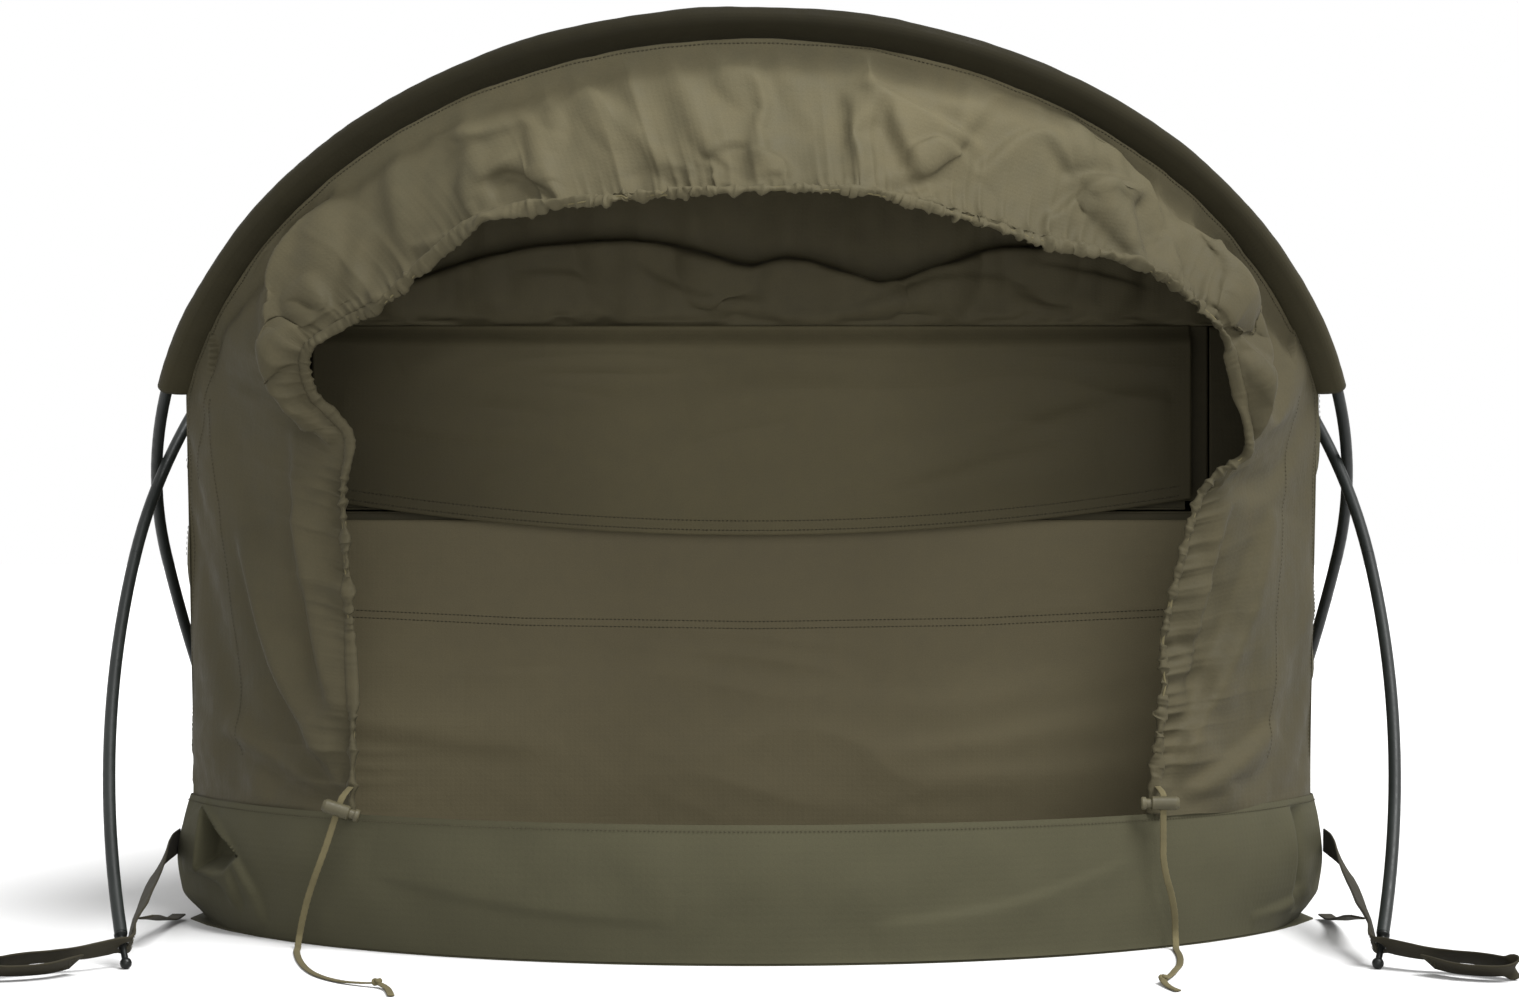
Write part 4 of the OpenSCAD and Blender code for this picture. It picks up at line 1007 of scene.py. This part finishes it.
def make_tub_front():
    """The bowed front piece, which turns both corners and folds in on itself there."""
    a = np.linspace(-1, 1, 301) * math.asin(HEAD_HALF / FRONT_R)
    front = np.stack([FRONT_R * np.sin(a), FRONT_R - FRONT_R * np.cos(a), 0 * a], 1)
    y = np.linspace(0, TUB_TURN, 20)[1:] + CORNER_Y
    right = np.stack([side_x(y), y, 0 * y], 1)
    ring = resample(np.vstack([right[::-1] * np.array([-1, 1, 1]), front, right]), 641)
    for _ in range(6):
        ring[1:-1] = (ring[:-2] + ring[1:-1] * 2 + ring[2:]) / 4
    rows = 45
    h = np.linspace(0, 1, rows)[None, :]
    out = turned_out(ring)
    base = placed(ring)
    grid = base[:, None] + np.zeros((1, rows, 1))
    grid[..., 2] = lerp(TUB_LOW, TUB_H + 0.002, h)
    side = np.sign(base[:, :1])
    from_corner = base[:, :2] - np.array([0, CORNER_Y + FRONT]) - side * np.array([[HEAD_HALF, 0]])
    near = np.linalg.norm(from_corner, axis=1)
    close = np.exp(-(near[:, None] / 0.075) ** 2)
    soft = Waves(21, 0.34, (1.6, 1, 1))(grid * np.array([1, 0, 1]))
    push = TUB_BULGE * np.sin(math.pi * h) + 0.0005 + 0.0030 * soft * np.sin(math.pi * h) ** 0.8
    push = push - close * 0.013 * smooth((0.026 - grid[..., 2]) / 0.026)
    grid = grid + out[:, None] * push[..., None]
    grid = creased(grid, TUB_FOLDS, np.array([0, -1.0, 0]))
    depth = inside_of(grid[..., [0, 2]], GUSSET)
    grid[..., 1] += np.minimum(2.8 * depth, 0.030)
    grid[..., 0] += np.minimum(0.8 * depth, 0.010) * (grid[..., 0] < 0)
    grid[..., 2] = np.maximum(grid[..., 2], 0.0010)
    grid = grid + grid_normals(grid) * (Waves(22, 0.07)(grid) * 0.0006 * np.sin(math.pi * h))[..., None]
    cloth_piece("tub_front", grid, TUB, ["tub_band_front"])
    return grid


def make_tub_back():
    """The plain sides and the rounded foot end of the tub."""
    y = np.linspace(CORNER_Y + TUB_TURN - 0.004, FOOT_Y, 121)
    right = np.stack([side_x(y), y, 0 * y], 1)
    foot = foot_rim(np.linspace(0, math.pi, 61))
    ring = resample(np.vstack([right[:-1], foot, right[::-1][1:] * np.array([-1, 1, 1])]), 701)
    rows = 19
    h = np.linspace(0, 1, rows)[None, :]
    grid = placed(ring)[:, None] + np.zeros((1, rows, 1))
    grid[..., 2] = lerp(TUB_LOW, TUB_H + 0.002, h)
    soft = Waves(23, 0.30, (1, 1.6, 1))(grid)
    push = TUB_BULGE * np.sin(math.pi * h) - 0.001 + 0.0035 * soft * np.sin(math.pi * h) ** 0.8
    push = push - 0.006 * (1 - h) ** 5
    grid = grid + turned_out(ring)[:, None] * push[..., None]
    grid = grid + grid_normals(grid) * (Waves(24, 0.08)(grid) * 0.0009 * np.sin(math.pi * h))[..., None]
    cloth_piece("tub_sides", grid, TUB, ["tub_band_left", "tub_band_right", "tub_band_foot"])
    return grid


tub_front_grid = make_tub_front()
tub_back_grid = make_tub_back()
nodes["floor_panel"].data.materials.clear()
nodes["floor_panel"].data.materials.append(TUB)


# ---------------------------------------------------------------- inner wall, flap and door
def upright(x, y, z):
    return placed(np.stack([x, y + 0 * x, z], -1))


WALL_FOLDS = [
    ([(0.330, 0.566), (0.216, 0.568), (0.171, 0.555), (0.135, 0.543), (0.110, 0.536), (0.071, 0.549),
      (0.032, 0.559), (-0.010, 0.552), (-0.060, 0.566)], 0.018, 0.030, 0.010, 0.014, 0.006),
    ([(0.230, 0.540), (0.171, 0.541), (0.110, 0.520), (0.030, 0.512), (-0.030, 0.514)],
     0.006, 0.018, 0.004, 0.010, 0.001),
    ([(0.010, 0.552), (-0.079, 0.572), (-0.145, 0.572), (-0.216, 0.562), (-0.274, 0.546), (-0.320, 0.530)],
     0.016, 0.028, 0.010, 0.014, 0.006),
    ([(0.020, 0.520), (-0.038, 0.528), (-0.075, 0.540), (-0.110, 0.560)], 0.005, 0.014, 0.003, 0.010, 0.001),
    ([(-0.110, 0.528), (-0.150, 0.545), (-0.200, 0.546)], 0.004, 0.014, 0.003, 0.010, 0.001),
    ([(0.340, 0.535), (0.280, 0.548), (0.225, 0.556)], 0.004, 0.012, 0.003, 0.008, 0.001)]


def make_upper_wall():
    cols, rows = 121, 31
    x, v = fractions(cols, rows, -1, 1)
    d = np.linspace(-SLEEVE_HALF, SLEEVE_HALF, 400)
    arch = hoop(-1, d, WALL_TUCK)
    half = np.abs(np.interp(FLAP_TOP, arch[:200, 2], arch[:200, 0]))
    over = np.array([[np.interp(FRONT + WALL_Y, line[:, 1], line[:, k]) for k in range(3)]
                     for line in roof_grid])
    top = np.minimum(np.interp(x * half, arch[:, 0], arch[:, 2]),
                     np.interp(x * half, over[:, 0], over[:, 2]) - 0.003)
    z = lerp(np.maximum(top, FLAP_TOP + 0.002), FLAP_TOP, v)
    grid = upright(x * half, WALL_Y, z)
    grid = draped(grid, border(cols, rows), 0.02, weight=0.8, frames=22, stiff=1.0, seed=8)
    grid = finer(grid, 3, 3)
    rim = smooth(np.minimum(grid[..., 2] - FLAP_TOP, 0.02) / 0.02)
    moved = creased(grid, WALL_FOLDS, np.array([0, -1.0, 0]), 0.004)
    grid = softened(grid + (moved - grid) * rim[..., None], 4, 2)
    cloth_piece("inner_wall_top", grid, INNER, ["inner_wall_upper"])


def make_panel(name, half, low, high, y, mat, body, replaced, folds=(), seed=1, relief=0.0,
               thick=0.0006, bag=0.0, joined=0.0):
    """An upright panel between its low and high edges, each given as a function of x, with soft level
    wrinkles, chosen folds and a slight sag."""
    cols, rows = 361, 101
    x, v = fractions(cols, rows, -half, half)
    grid = upright(x, y, lerp(high(x), low(x), v))
    rim = smooth(4 * v) * smooth(4 * (1 - v)) * smooth((half - np.abs(x)) / 0.03)
    spread = grid * np.array([1, 0, 1])
    broad = Waves(seed, 0.20, (2.6, 1, 1))(spread)
    fine = 1 - np.abs(Waves(seed + 50, 0.055, (4.0, 1, 0.8))(spread + 0.02 * broad[..., None]))
    patch = smooth(0.5 + 0.8 * Waves(seed + 70, 0.28)(spread))
    lift = relief * (broad + 0.45 * fine * patch) + bag * np.sin(math.pi * v) ** 2
    grid[..., 1] -= lift * rim
    grid[..., 1] += joined * (1 - smooth(v * (np.max(high(x)) - np.min(low(x))) / 0.020))
    if folds:
        moved = creased(grid, folds, np.array([0, -1.0, 0]), 0.012)
        grid = grid + (moved - grid) * rim[..., None]
    flat = (2 * half, float(np.max(high(x) - low(x))))
    cloth_piece(name, grid, mat, replaced, body, thick)
    return grid


def level(z):
    return lambda x: 0 * x + z


FLAP_FOLDS = [
    ([(-0.290, 0.455), (-0.235, 0.478), (-0.175, 0.466)], 0.005, 0.034, 0.003, 0.018, 0.0),
    ([(-0.050, 0.420), (0.020, 0.440), (0.095, 0.430)], 0.005, 0.036, 0.003, 0.022, 0.0),
    ([(0.290, 0.412), (0.190, 0.388), (0.080, 0.352)], 0.006, 0.034, 0.003, 0.020, 0.0),
    ([(0.350, 0.450), (0.270, 0.434), (0.180, 0.398)], 0.006, 0.030, 0.003, 0.018, 0.0),
    ([(-0.350, 0.425), (-0.260, 0.408), (-0.160, 0.402)], 0.004, 0.040, 0.003, 0.020, 0.0)]
DOOR_FOLDS = [
    ([(0.350, 0.222), (0.250, 0.210), (0.150, 0.192), (0.040, 0.198)], 0.006, 0.034, 0.003, 0.022, 0.0),
    ([(0.370, 0.184), (0.270, 0.174), (0.190, 0.158), (0.090, 0.148)], 0.006, 0.026, 0.004, 0.016, 0.0),
    ([(0.350, 0.146), (0.260, 0.134), (0.140, 0.128)], 0.004, 0.030, 0.003, 0.018, 0.0),
    ([(-0.360, 0.160), (-0.270, 0.150), (-0.160, 0.140)], 0.004, 0.040, 0.003, 0.024, 0.0),
    ([(-0.040, 0.224), (-0.140, 0.216), (-0.240, 0.222)], 0.004, 0.040, 0.003, 0.024, 0.0)]


def flap_low(x):
    return FLAP_TOP - FLAP_LEN + FLAP_RISE * (x / FLAP_HALF) ** 2


make_upper_wall()
# The strip behind the flap wears the dark cloth: painted shade.
make_panel("inner_wall_strip", DOOR_HALF, level(0.3559), level(FLAP_TOP), WALL_Y, SHADE_CLOTH, "shelter",
           [], seed=9)
flap_grid = make_panel("storm_flap_cloth", FLAP_HALF, flap_low, level(FLAP_TOP), FLAP_Y, FLAP, "storm_flap",
                       ["storm_flap"], FLAP_FOLDS, 10, 0.0022, bag=0.003, joined=0.009)
door_grid = make_panel("door_cloth", DOOR_HALF, level(DOOR_BOTTOM), level(DOOR_TOP), WALL_Y, DOOR, "door",
                       ["door_panel"], DOOR_FOLDS, 14, 0.0018, bag=0.002)
make_panel("door_sill_cloth", DOOR_HALF, level(0.003), level(0.059), WALL_Y, DOOR, "shelter",
           ["door_sill"], seed=12)
# The wall's sides beside the door wear the dark cloth: painted shade in the gaps at the hood's edges.
for side, word in ((-1, "left"), (1, "right")):
    x0 = DOOR_HALF + 0.0015
    cols, rows = 13, 61
    v = np.ones((cols, 1)) * np.linspace(0, 1, rows)[None, :]
    z = lerp(FLAP_TOP - 0.001, 0.003, v)
    outer = np.interp(z, [0.003, 0.400, 0.450, 0.503], [0.456, 0.456, 0.442, 0.412])
    x = lerp(x0, outer, np.linspace(0, 1, cols)[:, None]) * side
    grid = upright(x, WALL_Y, z)
    obj = sheet_object("inner_wall_side_" + word, finer(grid, 2, 2), SHADE_CLOTH, 0.0006)
    rides(obj, "shelter", ["inner_wall_sides"])

# ---------------------------------------------------------------- webbing
EYE_UP = 0.025
EYE_HOLE = 0.0048


def eye_point(way):
    """Where the left leg of a hoop passes through its strap, measured from the floor's front edge."""
    return hoop(way, -(3 * SECTION - EYE_UP)) - np.array([0, FRONT, 0])


def leg_way(way):
    return unit(hoop(way, -(3 * SECTION - EYE_UP)) - hoop(way, -3 * SECTION))


def pierced(obj, at, axis):
    """Cuts an eyelet's hole through a tape."""
    axis = unit(axis)
    a = unit(np.cross(axis, [0.3, 0.2, 0.9]))
    b = np.cross(axis, a)
    t = angles(24)
    circle = EYE_HOLE * (np.cos(t)[:, None] * a + np.sin(t)[:, None] * b)
    cutter = tube_object("eyelet_hole", np.stack([at + axis * e + circle for e in (-0.012, 0, 0.012)]), WEB)
    cut = obj.modifiers.new("eyelet_hole", "BOOLEAN")
    cut.object = cutter
    cut.solver = "EXACT"
    bpy.context.view_layer.update()
    mesh = bpy.data.meshes.new_from_object(obj.evaluated_get(bpy.context.evaluated_depsgraph_get()))
    obj.modifiers.clear()
    if len(mesh.polygons) > 100:
        obj.data = mesh
    bpy.data.objects.remove(cutter)


def webbing(name, run, wide, width, thick=0.0018, count=240, ribs=11):
    """Ribbed tape along a run of points, with its own thick woven edges."""
    path = spline(run, count)
    along = unit(np.gradient(path, axis=0))
    at = np.linspace(0, 1, count)
    w = np.stack([np.interp(at, np.linspace(0, 1, len(wide)), [d[k] for d in wide]) for k in range(3)], 1)
    a = unit(w - (w * along).sum(1, keepdims=True) * along)
    b = np.cross(along, a)
    t = np.linspace(-1, 1, 2 * ribs + 1)
    bead = 0.85 + 0.15 * np.abs(np.sin(math.pi * ribs / 2 * (t + 1))) + 0.10 * (np.abs(t) > 0.86)
    half = thick / 2 * bead
    half[0] = half[-1] = thick * 0.2
    scallop = 1 + 0.006 * np.sin(lengths(path) * 2 * math.pi / 0.0016)
    profile = np.concatenate([np.stack([t, half], 1), np.stack([t[::-1], -half[::-1]], 1)])
    rings = (path[:, None] + (width / 2 * scallop)[:, None, None] * profile[None, :, :1] * a[:, None]
             + profile[None, :, 1:] * b[:, None])
    return tube_object(name, rings, WEB), path, a, b


def box_stitch(path, a, b, start, end, width, thick=0.0018):
    """The runs of a sewn box with a cross, on both faces of a tape between two fractions of it."""
    n = len(path)
    i, j = int(start * (n - 1)), int(end * (n - 1))
    part, pa, pb = path[i:j + 1], a[i:j + 1], b[i:j + 1]
    runs = []
    for face in (1, -1):
        up = pb * face
        lift = up * thick * 0.52
        for edge_at in (-0.36, 0.36):
            runs.append((part + pa * width * edge_at + lift, up))
        cross = np.linspace(-0.36, 0.36, len(part))[:, None] * width
        for way in (1, -1):
            runs.append((part + pa * cross * way + lift, up))
    return runs


CORNER_TAN = unit([-8, -13, -1])
SIDE_TAN = unit([-8, 13, -1])
CORNER_RUN = [(-0.490, 0.340, 0.066), (-0.490, 0.300, 0.064), (-0.489, 0.255, 0.059), (-0.486, 0.200, 0.051),
              (-0.482, 0.140, 0.042), (-0.478, 0.080, 0.032), (-0.475, 0.035, 0.025),
              tuple(eye_point(1) - 0.009 * CORNER_TAN), tuple(eye_point(1) + 0.009 * CORNER_TAN),
              (-0.499, -0.034, 0.015), (-0.518, -0.044, 0.0135), (-0.537, -0.058, 0.013),
              (-0.551, -0.074, 0.012), (-0.558, -0.088, 0.0105), (-0.549, -0.094, 0.0085),
              (-0.533, -0.088, 0.0078), (-0.517, -0.075, 0.0082), (-0.502, -0.052, 0.0100)]
CORNER_WIDE = [(0, 0.2, 1), (0, 0.2, 1), (0.2, 0.1, 1), (0.45, 0, 0.9), (0.6, 0, 0.75), (0.65, 0, 0.7),
               (0.65, -0.2, 0.68), (0.6, -0.45, 0.66), (0.6, -0.45, 0.66), (0.4, -0.7, 0.6),
               (0.3, -0.75, 0.6), (0.2, -0.8, 0.6), (0.1, -0.85, 0.55), (0, -0.9, 0.45),
               (0.1, -0.88, 0.45), (0.2, -0.86, 0.45), (0.3, -0.84, 0.45), (0.35, -0.8, 0.48)]
SIDE_RUN = [(-0.459, 0.600, 0.050), (-0.456, 0.650, 0.034), (-0.453, 0.695, 0.018),
            tuple(eye_point(-1) - 0.009 * SIDE_TAN), tuple(eye_point(-1) + 0.009 * SIDE_TAN),
            (-0.480, 0.756, 0.013), (-0.500, 0.762, 0.008), (-0.522, 0.768, 0.003), (-0.534, 0.771, 0.009),
            (-0.522, 0.768, 0.019), (-0.500, 0.762, 0.020), (-0.486, 0.757, 0.017)]
SIDE_WIDE = [(0, 0, 1), (0.2, 0, 1), (0.6, 0.2, 0.6), (0.6, 0.45, 0.66), (0.6, 0.45, 0.66), (0.2, 0.8, 0.3),
             (0.1, 1, 0.1), (0.1, 1, 0), (0.1, 1, 0), (0.1, 1, 0), (0.1, 1, 0.1), (0.2, 0.8, 0.3)]
FLOOR_RUN = [(-0.488, 0.322, 0.004), (-0.487, 0.280, 0.005), (-0.485, 0.225, 0.011), (-0.482, 0.165, 0.019),
             (-0.479, 0.112, 0.025)]
FLOOR_WIDE = [(1, 0, 0), (1, 0, 0), (1, 0, 0.1), (1, 0, 0.2), (1, 0, 0.2)]
FOOT_RUN = [(-0.255, 2.302, 0.012), (-0.266, 2.325, 0.010), (-0.277, 2.350, 0.004), (-0.283, 2.363, 0.006),
            (-0.284, 2.368, 0.012), (-0.281, 2.361, 0.018), (-0.270, 2.335, 0.018), (-0.257, 2.303, 0.016)]
# Name, run, widths' directions, width, rings, ribs, the nodes it stands for on each side, which hoop
# passes through it, the run's direction there, and where it is box-stitched.
STRAPS = [("corner_webbing", CORNER_RUN, CORNER_WIDE, 0.020, 520, 11,
           ["corner_strap_left", "corner_strap_right"], 1, CORNER_TAN, [(0.60, 0.64), (0.975, 0.998)]),
          ("side_webbing", SIDE_RUN, SIDE_WIDE, 0.020, 320, 11, ["side_strap_left", "side_strap_right"],
           -1, SIDE_TAN, [(0.47, 0.52), (0.97, 0.998)]),
          ("floor_webbing", FLOOR_RUN, FLOOR_WIDE, 0.012, 160, 7,
           ["floor_straps", "floor_straps"], 0, None, []),
          ("foot_webbing", FOOT_RUN, [(1, 0.3, 0)] * 8, 0.015, 140, 9,
           ["foot_loops", "foot_loops"], 0, None, [])]
for side, word in ((1, "left"), (-1, "right")):
    turn = np.array([side, 1, 1])
    sewn = []
    for name, run, wide, width, count, ribs, replaced, eyed, tan, boxes in STRAPS:
        tape, path, a, b = webbing(name + "_" + word, placed(run) * turn, np.array(wide) * turn, width,
                                   count=count, ribs=ribs)
        if eyed:
            away = leg_way(eyed)
            pierced(tape, placed(eye_point(eyed)) * turn, (away - (away @ tan) * tan) * turn)
        rides(tape, "shelter", [replaced[0 if side > 0 else 1]])
        for start, end in boxes:
            sewn += box_stitch(path, a, b, start, end, width)
    stitched("strap_stitching_" + word, sewn, "shelter", pitch=0.0030, stitch=0.0021)

# ---------------------------------------------------------------- seams
FORWARD = np.array([0, -1.0, 0.2])


SEAM_ENDS = (0.01, 0.99)


def panel_run(grid, row_of, lift, count=700):
    """A seam across an upright panel. row_of says how far down each column it runs, from 0 to 1."""
    u = np.linspace(*SEAM_ENDS, count)
    m = len(grid)
    column = grid[np.clip((u * (m - 1)).round().astype(int), 0, m - 1)]
    p, normal = sampled(grid, u, row_of(u, column))
    normal = turned_to(normal, FORWARD)
    return p + normal * lift, normal


def level_run(grid, heights, lift=0.0003):
    """A seam at the given heights from end to end of a panel whose rows go down."""
    def row_of(u, column):
        z = np.interp(u, np.linspace(0, 1, len(heights)), heights)
        down = np.linspace(0, 1, grid.shape[1])
        return np.array([np.interp(-h, -c[:, 2], down) for h, c in zip(z, column)])
    return panel_run(grid, row_of, lift)


def offset_run(grid, gap, lift=0.0003):
    """A seam a set distance above a hanging panel's lower edge."""
    def row_of(u, column):
        up = np.linspace(1, 0, grid.shape[1])
        return np.array([np.interp(gap, lengths(c[::-1]), up) for c in column])
    return panel_run(grid, row_of, lift)


stitched("flap_hem_stitching", [offset_run(flap_grid, 0.004, 0.0006), offset_run(flap_grid, 0.012, 0.0006)],
         "storm_flap")
stitched("door_seam_stitching", [level_run(door_grid, [0.266, 0.257, 0.254, 0.257, 0.266], 0.0006),
                                 level_run(door_grid, [0.260, 0.251, 0.248, 0.251, 0.260], 0.0006)],
         "door")
tub_line = tub_front_grid[:, -1]
tub_up = turned_out(tub_line)
seam_low = tub_front_grid[:, -3] + tub_up * 0.0004
stitched("tub_seam_stitching", [(seam_low, tub_up)], "shelter")
back_line = tub_back_grid[:, -2]
back_up = turned_out(back_line)
stitched("tub_back_stitching", [(back_line + back_up * 0.0004, back_up)], "shelter",
         pitch=0.0045)
hood_runs = []
for u, v in (((0.020, 0.075, 0.130, 0.175), (0.34, 0.30, 0.24, 0.16)),
             ((0.135, 0.165, 0.205), (0.10, 0.14, 0.10)),
             ((0.980, 0.925, 0.860, 0.820), (0.36, 0.32, 0.26, 0.18)),
             ((0.015, 0.985), (0.025, 0.025))):
    hood_runs.append(along_grid(hood_grid, u, v, 900, 0.0004, FORWARD))
stitched("hood_seam_stitching", hood_runs, "shelter")
back_runs = []
for u, v in (((0.5, 0.5), (0.004, 0.996)), ((0.02, 0.98), (0.02, 0.02)), ((0.03, 0.97), (0.985, 0.985))):
    back_runs.append(along_grid(canopy_grid, u, v, 1400, 0.0004, np.array([0, 0.3, 1.0])))
for v in (0.03, 0.97):
    back_runs.append(along_grid(roof_grid, (0.01, 0.99), (v, v), 1400, 0.0004, np.array([0, 0, 1.0])))
stitched("body_seam_stitching", back_runs, "shelter", pitch=0.0045, stitch=0.0030)

# ---------------------------------------------------------------- carried-over CAD nodes
FINISH = {"pole_section": POLE, "pole_ferrules": FERRULE, "shock_cord": RUBBER, "pole_tips": TIP,
          "strap": WEB, "foot_loops": WEB, "eyelets": METAL, "barrel": PLASTIC, "plunger": BUTTON,
          "spring": SPRING, "zip_tape": TAPE, "zip_slider": METAL, "zip_puller": METAL, "hood_drawcord": CORD}
for name, obj in nodes.items():
    for word, mat in FINISH.items():
        if word in name:
            obj.data.materials.clear()
            obj.data.materials.append(mat)

# ---------------------------------------------------------------- floor and light
world = bpy.data.worlds.new("studio")
scene.world = world
world.use_nodes = True
world.node_tree.nodes["Background"].inputs["Color"].default_value = (1.0, 1.0, 1.0, 1)
world.node_tree.nodes["Background"].inputs["Strength"].default_value = 1.0
scene.view_settings.view_transform = "Standard"

ground, tree, shader = material("pale_ground", (0.60, 0.60, 0.60), rough=0.9)
tree.links.new(ramp(tree, noise(tree, 3, 2), [(0.3, (0.59, 0.59, 0.59, 1)), (0.7, (0.61, 0.61, 0.61, 1))]),
               shader.inputs["Base Color"])
floor = mesh_object("floor", [(-40, -40, 0), (40, -40, 0), (40, 40, 0), (-40, 40, 0)], [(0, 1, 2, 3)])
floor.data.materials.append(ground)

sun = bpy.data.lights.new("overhead", "SUN")
sun.energy = 5.5
sun.angle = math.radians(35)
lamp = new_object("overhead", sun)
lamp.rotation_euler = Vector((-0.50, 0.42, -1.0)).to_track_quat("-Z", "Y").to_euler()

fill = bpy.data.lights.new("front_fill", "AREA")
fill.shape = "DISK"
fill.size = 2.2
fill.energy = 42
front = new_object("front_fill", fill)
front.location = (0.5, FRONT - 3.2, 0.9)
front.rotation_euler = Vector((-0.15, 1.0, -0.16)).to_track_quat("-Z", "Y").to_euler()
